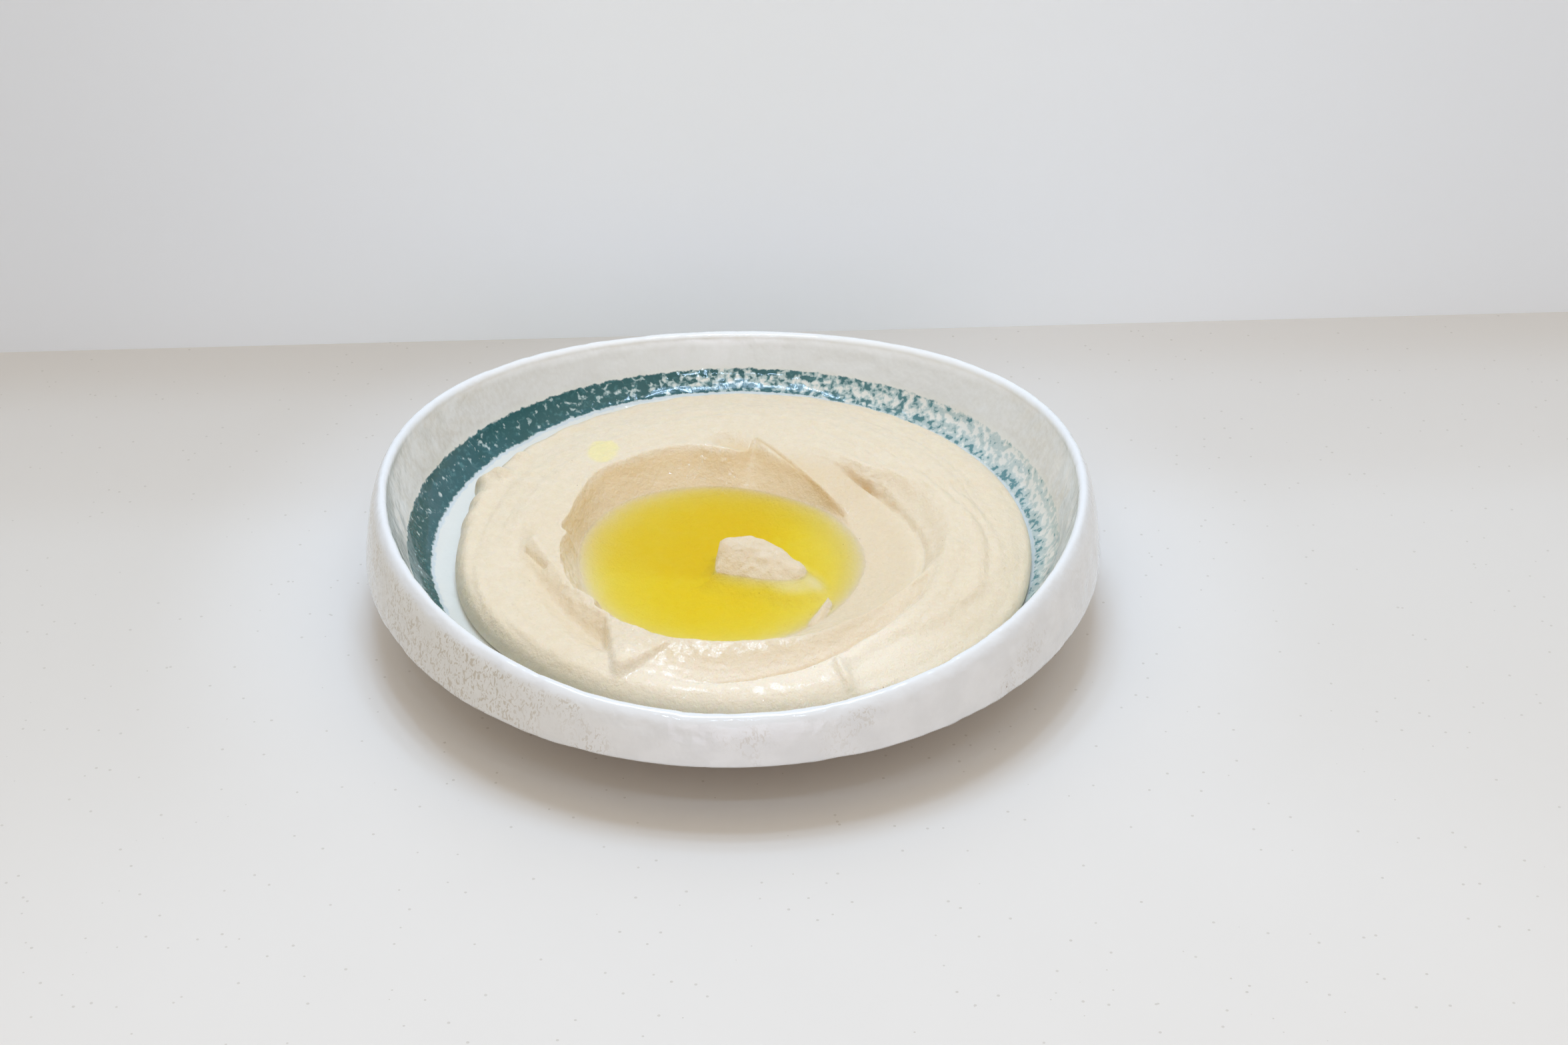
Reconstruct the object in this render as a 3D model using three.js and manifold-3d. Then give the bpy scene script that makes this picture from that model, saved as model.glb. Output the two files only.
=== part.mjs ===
// A dish of hummus: a glazed stoneware bowl, the swirled dip in it, and the olive oil in its well.
// Millimetres, +Z up. The origin is the middle of the flat foot that the bowl stands on.
import * as THREE from 'three';
import { mergeVertices } from 'three/addons/utils/BufferGeometryUtils.js';
import Module from 'manifold-3d';

const DEG = Math.PI / 180;
const GAP = 0.3; // clearance between pieces that touch
const WELD = 1e-3; // points closer together than this become one

// Bowl
const FOOT_INNER_R = 50;
const FOOT_OUTER_R = 60;
const FOOT_DRAFT = 1.5; // how far each side of the foot leans in towards its flat face
const RECESS_Z = 9.5; // underside inside the foot ring
const UNDER_Z = 11; // underside where it leaves the foot ring
const UNDER_BEND_R = 98;
const UNDER_BEND_Z = 15;
const BAND_R = 122.7; // widest, just above the lower corner of the outer band
const BAND_FOOT_Z = 21.4;
const BAND_CORNER = 4; // size of that rounded corner
const BAND_CORNER_RISE = 1.3; // how high up the corner its curve is drawn outwards
const SHOULDER_TURN = 48; // degrees before its outer side at which the lip's arc goes over into the band
const SHOULDER = 4.6; // length of that going over
const LIP_R = 116; // middle of the rounded lip
const LIP_Z = 42.7; // its mean height
const LIP_HALF = 1.9; // half the lip's thickness
const RIM_WAVE = 5.8; // the lip is this much higher at the two sides and lower at front and back
const STRIPE_TOP_R = 108.6; // inner wall at the top of the painted stripe
const STRIPE_TOP_Z = 29.4;
const WALL_BEND_Z = 41.4; // height towards which the inner wall is drawn
const FLOOR_R = 101.2; // where the floor turns up into the wall
const FLOOR_EDGE_Z = 21;
const FLOOR_MID_Z = 16;
const FLOOR_BEND = 6; // half the width of that turn
const FLOOR_BEND_R = 104.2; // radius towards which the turn is drawn
const FLOOR_RINGS = 4;
const CURVE_STEPS = 3; // straight steps in each curve of the section
const BOWL_SIDES = 70;

// Dip: outline, edge and top. Angles turn round the well's middle from +X, seen from above.
const DIP_X = 3.7;
const DIP_Y = -4;
const DIP_HALF_X = 96.7;
const DIP_HALF_Y = 94;
const UNEVEN = [[-170, 0.4], [-155, 1.2], [-140, 0.4], [-120, 0], [-60, 0], [-25, 0.4], [-9, -0.8],
  [5, -0.6], [30, 0], [100, 0], [140, 0.8], [150, 0.6], [154, 0], [158, 2.4], [162.5, 0.6], [168, -0.2],
  [176, -0.6]]; // how far the outline stands out from its ellipse, by angle round the dip's own middle
const EDGE_WIDTH = [[-180, 6.5], [-150, 7], [-120, 9.5], [-95, 11.5], [-60, 13], [-40, 14.5], [-10, 12],
  [30, 10], [90, 9], [150, 7]]; // width of the rounded edge
const EDGE_WIDEST_Z = 23; // height at which the dip is widest
const EDGE_TOP_Z = 31.2; // where the rounded edge ends
const EDGE_TUCK = 1.6; // least that the edge tucks in again where it meets the floor
const GROOVE_MARGIN = 5; // grooves die out this close to the outline
const SWELL = [[-170, 3.4], [-135, 4], [-90, 4.8], [-45, 4], [-10, 3.2], [30, 4], [60, 4.6], [80, 5],
  [95, 4.5], [130, 4], [160, 3.6]]; // rise of the top above the edge
const SWELL_START = 7; // the top swells up between these two distances from the edge
const SWELL_END = 30;
const CREASE = 0.7; // roundness of the creases where two strokes meet

// Dip: the well for the oil
const WELL_X = -4;
const WELL_Y = -17;
const OIL_Z = 25; // oil level
const WELL_BOTTOM_Z = 19.3;
const WELL_RAISED = [[-180, 0], [-60, 0], [-20, 0.8], [25, 0.6], [55, -0.9], [80, -0.6],
  [120, 0]]; // how far the bottom rises outwards
const RAISED_START = 8; // it rises between these two radii
const RAISED_END = 30;
const BASIN_POWER = [[-180, 3], [-90, 3.8], [-20, 3.2], [30, 3.4], [80, 6],
  [130, 3.6]]; // flat middle, steeper towards the edge of the pool
const POOL = [[-174, 47], [-120, 47], [-60, 45.5], [-30, 44.6], [5, 46.8], [38, 48.4], [65, 47.5], [94, 49.6],
  [130, 52.2], [155, 50.4]]; // radius of the pool
const WALL_SLOPE = [[-176, 1.75], [-168, 1.4], [-157, 1.33], [-148, 1.45], [-134, 1.38], [-118, 1.2],
  [-85, 1], [-55, 0.66], [-40, 0.72], [-10, 0.75], [20, 0.65], [31, 0.75], [36.5, 1.05], [40, 2], [44, 3],
  [50, 2.1], [54, 1.75], [60, 1.41], [66, 1.18], [72, 1], [76, 0.74], [79.5, 0.54], [82, 0.78], [85, 1.1],
  [90, 1.25], [97, 1.02], [108, 0.94], [122, 1.12], [134, 1.1], [148, 1.7],
  [162, 2]]; // rise of the wall above the pool
const CREST_CREASE = [[-176, 0.45], [-150, 0.4], [-120, 0.5], [-95, 0.9], [-50, 1.2], [-20, 1], [20, 0.6],
  [40, 0.4], [62, 0.4], [79, 0.35], [90, 0.6], [130, 0.7], [160, 0.45]]; // roundness of the well's brim

// Dip: the shallow second stroke, a shelf on the right that climbs to the back
const SHELF_SLOPE = [[-60, 0.4], [-30, 0.32], [-5, 0.18], [25, 0.15], [42, 0.12], [52, 0.2], [60, 0.25],
  [72, 0.15], [80, 0.06], [150, 0.3]];
const SHELF_CLIMB = [[-180, 40], [-76, 12], [-60, 4], [-48, 0.8], [-38, 0], [24, 0], [31, 0.9], [36.5, 2.6],
  [44, 5.2], [52, 6.2], [60, 6.6], [72, 8.4], [80, 9.8], [90, 14],
  [110, 30]]; // its height above the pool's edge
const SHELF_WALL = [[-60, 56.5], [-45, 58], [-28, 60.6], [-17, 64], [-9, 66.2], [4, 67.6], [16, 66.8],
  [25, 66.3], [35, 65], [41, 63.6], [50, 62.6], [60, 63], [80, 68], [150, 70]]; // radius of its outer wall
const SHELF_WALL_SLOPE = [[-60, 1.3], [-20, 1.5], [-8, 0.9], [4, 0.6], [16, 0.5], [25, 0.5], [33, 0.6],
  [42, 0.7], [49, 0.5], [56, 0.25], [80, 0.1], [150, 1.5]];
const SHELF_CREASE = [[-60, 1.7], [-35, 2], [-10, 1.7], [8, 1.2], [30, 0.9], [43, 0.8], [52, 2.2], [62, 3],
  [78, 2], [110, 0.7]]; // roundness where the shelf's wall meets the top

// Dip: curved grooves, each with its radius along its arc, its depth, the widths of its two sides, how
// pointed its section is, and its share of the full depth along the arc
const EVEN_SHARE = [[-180, 1], [180, 1]];
const GROOVES = [
  { from: -119, to: -6, fade: 12, depth: 4.2, inner: 4.8, outer: 2.2, point: 1.25,
    radius: [[-117, 70.5], [-100, 69.8], [-80, 68.4], [-65, 67.9], [-50, 66.9], [-35, 67.8], [-22, 69.8],
      [-8, 70.6]],
    share: [[-117, 0.85], [-90, 1], [-50, 1], [-30, 0.85], [-17, 0.6], [-8, 0.3]] },
  { from: 170, to: 237, fade: 9, depth: 4.8, inner: 3.8, outer: 5.5, point: 1.8,
    radius: [[177, 67.6], [189, 63.4], [200, 60.8], [213, 60.2], [223, 60.4], [233, 61]],
    share: [[172, 0.2], [186, 0.5], [200, 0.8], [215, 0.9], [232, 1.1]] },
  { from: -14, to: 62, fade: 16, depth: 0.9, inner: 1.6, outer: 2.4, point: 2, share: EVEN_SHARE,
    radius: [[-12, 88.4], [0, 89], [12, 86.8], [18, 83.8], [26, 81.6], [45, 80.5], [62, 83]] },
];

// Dip: the step down in the top outside the right-hand strokes
const TERRACE = { from: -61, to: 24, fade: 6, drop: 1.5, width: 4.5,
  radius: [[-61, 77], [-56, 74.6], [-50, 73.2], [-42, 74], [-37, 77.2], [-29, 81.6], [-22, 83.6], [-17, 87],
    [-12, 89.4], [-7, 92], [0, 92], [9, 90.6], [20, 87], [26, 83]] };

// Dip: straight ridges and creases from one point to another, their rise and the width of each side
const STROKES = [
  { from: [32, -82], to: [39, -97], rise: 2.3, left: 2.8, right: 1.3 },
  { from: [-66.4, -13], to: [-59.6, -27], rise: 0.9, left: 1.3, right: 1.2 },
  { from: [-3, 46.5], to: [4, 42.4], rise: -3, left: 3.6, right: 3.6 },
  { from: [-79, 31], to: [-86.5, 38.5], rise: 2.8, left: 2, right: 3.2 },
  { from: [-72, 43], to: [-77, 46], rise: 1.6, left: 2, right: 2.4 },
];

// Dip: the flap that is folded out over the front-left groove, with its height at its root and tip
const FLAP = { left: [-41.5, -55], tip: [-37.2, -86.5], right: [-20.5, -72.6] };
const FLAP_ROOT_Z = 35;
const FLAP_TIP_Z = 32;
const FLAP_SIDE = 0.8; // width of its steep sides
const FLAP_BULGE = 1.2; // how far its middle is crowned
const FULL_BULGE = 27; // makes the product of the three corner shares 1 in the middle

// Dip: the lump that stands out of the oil. By the distance along its line: the height of its crest above the
// oil, how far the crest lies to the left of the line, and how far its front reaches.
const LUMP = {
  x: 8.6, y: -16.4, from: [-4.8, -13.2], to: [27.8, -19],
  crest: [[0, 6.4], [1.8, 7.6], [5, 7.9], [9.5, 7.8], [13, 7.3], [16, 6.9], [20, 5.8], [24, 4.1], [28, 1.6],
    [31, -2.4]],
  shift: [[0, 1.4], [2, 2.2], [9.5, 3.6], [14.3, 3.2], [20, 1.5], [25, -0.8], [31, -2.6]],
  front: [[0, 8.6], [2, 9.6], [6, 11.2], [14, 12.2], [20.7, 10], [26, 6.4], [31, 4.4]],
  back: 3.6, power: 2.1, sink: 0.6, leastFall: 3, endSlope: 6,
};

// Dip: the sunken heaps round the lump
const SUNKEN = [
  { x: 9, y: -19.5, halfX: 18.5, halfY: 11.5, turn: -6, rise: -0.7, sink: 5.4, power: 2.4 },
  { x: 18, y: -26, halfX: 15, halfY: 8.5, turn: -28, rise: -1.1, sink: 5.4, power: 2.6 },
  { x: 26, y: -26, halfX: 13, halfY: 6, turn: -62, rise: -0.8, sink: 5.4, power: 2.2 },
];
const SUNKEN_CREASE = 1.2;

// Dip: the thin point drawn out of the brim over the oil
const SPIKE = { from: [23.6, -49.6], to: [30.8, -38.4], startZ: 26.4, endZ: 27.2, startHalf: 2.4,
  endHalf: 0.9, fall: 1.8 };

// Mesh of the dip and of the oil: columns run out from the lump's middle, closer together over the flap
const COLUMN_STEP = 3.7; // degrees
const FLAP_COLUMN_STEP = 1.9;
const FLAP_COLUMNS_FROM = -144;
const FLAP_COLUMNS_TO = -104;
const LUMP_RINGS = [0.4, 0.7, 0.88, 0.97, 1.05]; // shares of the way to the lump's waterline
const WATERLINE_REACH = 1; // columns to each side over which the waterline's row is evened out
const BASIN_ROWS = 6;
const WALL_ROWS = 8;
const TOP_ROWS = 9;
const EDGE_ROWS = 4;
const TUCK_ROWS = 2;
const BASE_ROWS = 2;
const SEARCH_STEP = 0.2; // step along a column when a brim is looked for
const SHORE_STEP = 0.05; // step along a column when a waterline is looked for
const SLOPE_STEP = 0.5; // distance to each side at which a slope is measured
const OIL_LIFT = 1.2 * GAP; // clearance square to the slope under the oil

const { clamp, euclideanModulo, lerp, smoothstep } = THREE.MathUtils;
const wasm = await Module();
wasm.setup();

/** Smallest of two heights, with the crease between them rounded over `width`. */
function blendedMin(a, b, width) {
  const near = Math.max(width - Math.abs(a - b), 0) / width;
  return Math.min(a, b) - near * near * width * 0.25;
}

/** Largest of two heights, rounded in the same way. */
function blendedMax(a, b, width) {
  return -blendedMin(-a, -b, width);
}

/** Smooth curve through [angle, value] pairs. With `closed` it goes all round. */
function along(pairs, angle, closed = true) {
  const n = pairs.length;
  const first = pairs[0][0];
  const turned = closed ? first + euclideanModulo(angle - first, 360) : clamp(angle, first, pairs[n - 1][0]);
  const at = (i) => {
    if (!closed) return pairs[clamp(i, 0, n - 1)];
    const lap = Math.floor(i / n);
    const pair = pairs[i - lap * n];
    return [pair[0] + 360 * lap, pair[1]];
  };
  let i = 0;
  while (i < n - (closed ? 1 : 2) && at(i + 1)[0] <= turned) i += 1;
  const [p0, p1, p2, p3] = [at(i - 1), at(i), at(i + 1), at(i + 2)];
  const span = p2[0] - p1[0];
  const t = (turned - p1[0]) / span;
  const m1 = ((p2[1] - p0[1]) / (p2[0] - p0[0])) * span;
  const m2 = ((p3[1] - p1[1]) / (p3[0] - p1[0])) * span;
  const t2 = t * t;
  const t3 = t2 * t;
  return (2 * t3 - 3 * t2 + 1) * p1[1] + (t3 - 2 * t2 + t) * m1 + (3 * t2 - 2 * t3) * p2[1] + (t3 - t2) * m2;
}

/** Height of the bowl's floor, inside the turn. */
function floorHeight(r) {
  return FLOOR_MID_Z + (FLOOR_EDGE_Z - FLOOR_MID_Z) * (r / FLOOR_R) ** 2;
}

/** Distance from a point to the dip's outline, in one direction. */
function outlineDistance(fromX, fromY, angle) {
  const c = Math.cos(angle * DEG);
  const s = Math.sin(angle * DEG);
  const x = (fromX - DIP_X) / DIP_HALF_X;
  const y = (fromY - DIP_Y) / DIP_HALF_Y;
  const a = (c / DIP_HALF_X) ** 2 + (s / DIP_HALF_Y) ** 2;
  const b = (x * c) / DIP_HALF_X + (y * s) / DIP_HALF_Y;
  const even = (-b + Math.sqrt(b * b - a * (x * x + y * y - 1))) / a;
  const turn = Math.atan2(fromY + even * s - DIP_Y, fromX + even * c - DIP_X) / DEG;
  return even + along(UNEVEN, turn);
}

/** The rounded edge and the swelling top, `inward` mm from the outline. */
function loafHeight(inward, angle) {
  const round = 1 - clamp(inward / along(EDGE_WIDTH, angle), 0, 1);
  const edge = lerp(EDGE_WIDEST_Z, EDGE_TOP_Z, Math.sqrt(1 - round * round));
  return edge + along(SWELL, angle) * smoothstep(inward, SWELL_START, SWELL_END);
}

/** An angle turned to lie near the middle of a span, and how strong the groove or terrace is there. */
function spanned(span, angle) {
  const middle = (span.from + span.to) / 2;
  const turned = middle + euclideanModulo(angle - middle + 180, 360) - 180;
  const half = span.fade / 2;
  const fade = smoothstep(turned, span.from - half, span.from + half)
    * (1 - smoothstep(turned, span.to - half, span.to + half));
  return { turned, fade };
}

/** Depth of one curved groove. */
function grooveDepth(groove, radius, angle) {
  const { turned, fade } = spanned(groove, angle);
  const aside = radius - along(groove.radius, turned, false);
  const out = Math.abs(aside) / (aside < 0 ? groove.inner : groove.outer);
  return groove.depth * along(groove.share, turned, false) * fade * Math.exp(-(out ** groove.point));
}

/** How far the terrace has dropped. */
function terraceDrop(radius, angle) {
  const { turned, fade } = spanned(TERRACE, angle);
  const line = along(TERRACE.radius, turned, false);
  return TERRACE.drop * fade * smoothstep(radius, line - TERRACE.width / 2, line + TERRACE.width / 2);
}

/** How far a point is along a line, and how far to the left of it. */
function fromLine(line, x, y) {
  const dx = line.to[0] - line.from[0];
  const dy = line.to[1] - line.from[1];
  const length = Math.hypot(dx, dy);
  const onward = ((x - line.from[0]) * dx + (y - line.from[1]) * dy) / length;
  const aside = (dx * (y - line.from[1]) - dy * (x - line.from[0])) / length;
  return { length, onward, aside };
}

/** Rise of one straight crease or ridge. */
function strokeRise(stroke, x, y) {
  const { length, onward, aside } = fromLine(stroke, x, y);
  const past = Math.max(-onward, onward - length, 0);
  const width = aside > 0 ? stroke.left : stroke.right;
  return stroke.rise * Math.exp(-((aside / width) ** 2) - (past / width) ** 2);
}

/** Height of the basin under the oil, which ends level with the oil at the pool's edge. */
function basinHeight(radius, angle) {
  const inside = Math.min(radius / along(POOL, angle), 1) ** along(BASIN_POWER, angle);
  const bottom = WELL_BOTTOM_Z + along(WELL_RAISED, angle) * smoothstep(radius, RAISED_START, RAISED_END);
  return lerp(bottom, OIL_Z, inside);
}

/** Height of the basin and of the wall that rises from it. */
function wallHeight(radius, angle) {
  return basinHeight(radius, angle) + along(WALL_SLOPE, angle) * Math.max(radius - along(POOL, angle), 0);
}

/** Height of the shelf beside the basin and of its own outer wall. */
function shelfHeight(radius, angle) {
  const outside = Math.max(radius - along(POOL, angle), 0);
  const past = Math.max(radius - along(SHELF_WALL, angle), 0);
  return basinHeight(radius, angle) + along(SHELF_CLIMB, angle) + along(SHELF_SLOPE, angle) * outside
    + along(SHELF_WALL_SLOPE, angle) * past;
}

/** Height of the folded flap, which drops away outside it. */
function flapHeight(x, y) {
  const corners = [FLAP.left, FLAP.tip, FLAP.right];
  const weights = corners.map((corner, i) => {
    const [ax, ay] = corners[(i + 1) % 3];
    const [bx, by] = corners[(i + 2) % 3];
    const length = Math.hypot(bx - ax, by - ay);
    const here = ((bx - ax) * (y - ay) - (by - ay) * (x - ax)) / length;
    const full = ((bx - ax) * (corner[1] - ay) - (by - ay) * (corner[0] - ax)) / length;
    return { inside: here * Math.sign(full), share: clamp(here / full, 0, 1) };
  });
  const sides = Math.min(weights[0].inside, weights[2].inside);
  const drop = Math.max(0, FLAP_SIDE - sides) ** 2 / FLAP_SIDE;
  const crowned = FULL_BULGE * FLAP_BULGE * weights.reduce((product, { share }) => product * share, 1);
  return lerp(FLAP_ROOT_Z, FLAP_TIP_Z, weights[1].share) + crowned - drop - Math.max(0, -weights[1].inside);
}

/** Height above the oil of the chunk that stands out of it. */
function chunkRise(x, y) {
  const { length, onward, aside } = fromLine(LUMP, x, y);
  const across = aside - along(LUMP.shift, onward, false);
  const out = Math.abs(across) / (across < 0 ? along(LUMP.front, onward, false) : LUMP.back);
  const crest = along(LUMP.crest, onward, false);
  const past = Math.max(-onward, onward - length, 0);
  return crest - Math.max(crest + LUMP.sink, LUMP.leastFall) * out ** LUMP.power - LUMP.endSlope * past;
}

/** Height above the oil of one sunken heap. */
function heapRise(heap, x, y) {
  const c = Math.cos(heap.turn * DEG);
  const s = Math.sin(heap.turn * DEG);
  const u = ((x - heap.x) * c + (y - heap.y) * s) / heap.halfX;
  const v = ((y - heap.y) * c - (x - heap.x) * s) / heap.halfY;
  return heap.rise - (heap.rise + heap.sink) * Math.hypot(u, v) ** heap.power;
}

/** Height of the lump in the oil and of the sunken heaps round it. */
function lumpHeight(x, y) {
  const rise = SUNKEN.reduce(
    (height, heap) => blendedMax(height, heapRise(heap, x, y), SUNKEN_CREASE), chunkRise(x, y),
  );
  return OIL_Z + rise;
}

/** Height of the thin point over the oil. */
function spikeHeight(x, y) {
  const { length, onward } = fromLine(SPIKE, x, y);
  const share = clamp(onward / length, 0, 1);
  const aside = Math.hypot(
    x - lerp(SPIKE.from[0], SPIKE.to[0], share), y - lerp(SPIKE.from[1], SPIKE.to[1], share),
  );
  const half = lerp(SPIKE.startHalf, SPIKE.endHalf, share);
  return lerp(SPIKE.startZ, SPIKE.endZ, share) - SPIKE.fall * (aside / half) ** 2;
}

/** Where a point lies from the well's middle, and how far in from the dip's outline. */
function fromWell(x, y) {
  const radius = Math.hypot(x - WELL_X, y - WELL_Y);
  const angle = Math.atan2(y - WELL_Y, x - WELL_X) / DEG;
  return { radius, angle, inward: outlineDistance(WELL_X, WELL_Y, angle) - radius };
}

/** Height of the dip's top at a point, without the thin point over the oil. */
function swirledHeight(x, y) {
  const { radius, angle, inward } = fromWell(x, y);
  const grooves = GROOVES.reduce((sum, groove) => sum + grooveDepth(groove, radius, angle), 0);
  const strokes = STROKES.reduce((sum, stroke) => sum + strokeRise(stroke, x, y), 0);
  const relief = strokes - grooves - terraceDrop(radius, angle);
  const top = loafHeight(inward, angle) + relief * smoothstep(inward, 0, GROOVE_MARGIN);
  const folded = blendedMax(top, flapHeight(x, y), CREASE);
  const shelved = blendedMin(folded, shelfHeight(radius, angle), along(SHELF_CREASE, angle));
  const swirled = blendedMin(shelved, wallHeight(radius, angle), along(CREST_CREASE, angle));
  return blendedMax(swirled, lumpHeight(x, y), CREASE);
}

/** Height of the dip's top at a point. */
function dipHeight(x, y) {
  return Math.max(swirledHeight(x, y), spikeHeight(x, y));
}

/** Closed outline of the bowl's section, from the axis below to the axis above. */
function bowlSection() {
  const section = new THREE.Path();
  section.moveTo(0, RECESS_Z);
  section.lineTo(FOOT_INNER_R - FOOT_DRAFT, RECESS_Z);
  section.lineTo(FOOT_INNER_R, 0);
  section.lineTo(FOOT_OUTER_R - FOOT_DRAFT, 0);
  section.lineTo(FOOT_OUTER_R, UNDER_Z);
  section.quadraticCurveTo(UNDER_BEND_R, UNDER_BEND_Z, BAND_R - BAND_CORNER, BAND_FOOT_Z);
  section.quadraticCurveTo(BAND_R, BAND_FOOT_Z + BAND_CORNER_RISE, BAND_R, BAND_FOOT_Z + BAND_CORNER);
  const turn = SHOULDER_TURN * DEG;
  const lipR = LIP_R + LIP_HALF * Math.cos(turn);
  const lipZ = LIP_Z + LIP_HALF * Math.sin(turn);
  section.quadraticCurveTo(lipR + SHOULDER * Math.sin(turn), lipZ - SHOULDER * Math.cos(turn), lipR, lipZ);
  section.absarc(LIP_R, LIP_Z, LIP_HALF, turn, Math.PI, false);
  section.quadraticCurveTo(LIP_R - LIP_HALF, WALL_BEND_Z, STRIPE_TOP_R, STRIPE_TOP_Z);
  const bendR = FLOOR_R - FLOOR_BEND;
  section.quadraticCurveTo(FLOOR_BEND_R, FLOOR_EDGE_Z, bendR, floorHeight(bendR));
  for (let i = FLOOR_RINGS - 1; i >= 0; i -= 1) {
    const r = (bendR * i) / FLOOR_RINGS;
    section.lineTo(r, floorHeight(r));
  }
  return section.getPoints(CURVE_STEPS);
}

/** The bowl: a turned section whose wall is then warped, so the lip rises at the two sides. */
function bowlGeometry() {
  const lathe = new THREE.LatheGeometry(bowlSection(), BOWL_SIDES);
  lathe.deleteAttribute('normal');
  lathe.deleteAttribute('uv');
  const geometry = mergeVertices(lathe.rotateX(Math.PI / 2), WELD);
  const place = geometry.attributes.position;
  for (let i = 0; i < place.count; i += 1) {
    const radius = Math.hypot(place.getX(i), place.getY(i));
    const angle = Math.atan2(place.getY(i), place.getX(i));
    const share = Math.max(place.getZ(i) - FLOOR_EDGE_Z, 0) / (LIP_Z - FLOOR_EDGE_Z);
    if (radius > FLOOR_R) place.setZ(i, place.getZ(i) + share * RIM_WAVE * Math.cos(2 * angle));
  }
  return geometry;
}

/** Closed skin over rings of points, the first and the last of which are single points. */
function ringSkin(rings) {
  const points = [];
  const faces = [];
  const columns = rings[1].length;
  const starts = rings.map((ring) => {
    const start = points.length;
    points.push(...ring);
    return start;
  });
  for (let row = 0; row + 1 < rings.length; row += 1) {
    for (let i = 0; i < columns; i += 1) {
      const next = (i + 1) % columns;
      const a = starts[row] + (rings[row].length === 1 ? 0 : i);
      const b = starts[row] + (rings[row].length === 1 ? 0 : next);
      const c = starts[row + 1] + (rings[row + 1].length === 1 ? 0 : next);
      const d = starts[row + 1] + (rings[row + 1].length === 1 ? 0 : i);
      if (c !== d) faces.push(a, d, c);
      if (a !== b) faces.push(a, c, b);
    }
  }
  const geometry = new THREE.BufferGeometry();
  geometry.setAttribute('position', new THREE.Float32BufferAttribute(points.flat(), 3));
  geometry.setIndex(faces);
  return geometry;
}

/** Point at a distance along one column. */
function columnPoint(angle, distance, height) {
  const x = LUMP.x + distance * Math.cos(angle * DEG);
  const y = LUMP.y + distance * Math.sin(angle * DEG);
  return [x, y, height(x, y)];
}

/** Distance along a column at which a test of the place first holds. */
function distanceTo(angle, start, end, test) {
  let distance = start;
  while (distance < end) {
    const [x, y] = columnPoint(angle, distance, () => 0);
    if (test(fromWell(x, y))) break;
    distance += SEARCH_STEP;
  }
  return distance;
}

/** Distance along a column to the lump's waterline. */
function waterline(angle) {
  let distance = 0;
  while (chunkRise(...columnPoint(angle, distance, () => 0)) > 0) distance += SHORE_STEP;
  return distance;
}

/** The waterline evened out over the neighbouring columns. */
function evenWaterline(angle) {
  const around = [];
  for (let i = -WATERLINE_REACH; i <= WATERLINE_REACH; i += 1) {
    around.push(waterline(angle + i * COLUMN_STEP));
  }
  return around.reduce((sum, distance) => sum + distance, 0) / around.length;
}

/** One column of the dip's grid: its angle and the distances of its rows, out to the widest point. */
function gridColumn(angle) {
  const lump = evenWaterline(angle);
  const outline = outlineDistance(LUMP.x, LUMP.y, angle);
  const width = along(EDGE_WIDTH, fromWell(...columnPoint(angle, outline, () => 0)).angle);
  const shoulder = outline - width;
  const pool = distanceTo(angle, lump, shoulder, (place) => place.radius >= along(POOL, place.angle));
  const brim = distanceTo(angle, pool, shoulder, (place) => (
    Math.min(wallHeight(place.radius, place.angle), shelfHeight(place.radius, place.angle))
      >= loafHeight(place.inward, place.angle)
  ));
  const rows = LUMP_RINGS.map((share) => share * lump);
  const basinStart = rows[rows.length - 1];
  for (let i = 1; i <= BASIN_ROWS; i += 1) rows.push(lerp(basinStart, pool, i / BASIN_ROWS));
  for (let i = 1; i <= WALL_ROWS; i += 1) rows.push(lerp(pool, brim, i / WALL_ROWS));
  for (let i = 1; i <= TOP_ROWS; i += 1) rows.push(lerp(brim, shoulder, i / TOP_ROWS));
  for (let i = 1; i <= EDGE_ROWS; i += 1) {
    rows.push(shoulder + width * Math.sin((Math.PI / 2) * (i / EDGE_ROWS)));
  }
  const [edgeX, edgeY] = columnPoint(angle, outline, () => 0);
  const tuck = Math.max(EDGE_TUCK, Math.hypot(edgeX, edgeY) - (FLOOR_R - FLOOR_BEND));
  return { angle, rows, outline, tuck };
}

/** Columns all round, closer together over the flap. */
function gridColumns() {
  const columns = [];
  let angle = -180;
  while (angle < 180 - FLAP_COLUMN_STEP) {
    columns.push(gridColumn(angle));
    const fine = angle >= FLAP_COLUMNS_FROM && angle < FLAP_COLUMNS_TO;
    angle += fine ? FLAP_COLUMN_STEP : COLUMN_STEP;
  }
  return columns;
}

/** The dip as one solid that lies on the bowl's floor. */
function dipGeometry(columns) {
  const ring = (distance, height) => columns.map(
    (column) => columnPoint(column.angle, distance(column), height),
  );
  const lyingHeight = (x, y) => floorHeight(Math.hypot(x, y)) + GAP;
  const rings = [[[LUMP.x, LUMP.y, dipHeight(LUMP.x, LUMP.y)]]];
  for (let row = 0; row < columns[0].rows.length; row += 1) {
    rings.push(ring((column) => column.rows[row], dipHeight));
  }
  for (let i = 1; i <= TUCK_ROWS; i += 1) {
    const turn = (Math.PI / 2) * (i / TUCK_ROWS);
    const height = (x, y) => lerp(EDGE_WIDEST_Z, lyingHeight(x, y), Math.sin(turn));
    rings.push(ring((column) => column.outline - column.tuck * (1 - Math.cos(turn)), height));
  }
  for (let i = BASE_ROWS; i > 0; i -= 1) {
    rings.push(ring((column) => (column.outline * i) / (BASE_ROWS + 1), lyingHeight));
  }
  rings.push([[LUMP.x, LUMP.y, lyingHeight(LUMP.x, LUMP.y)]]);
  return ringSkin(rings);
}

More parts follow.
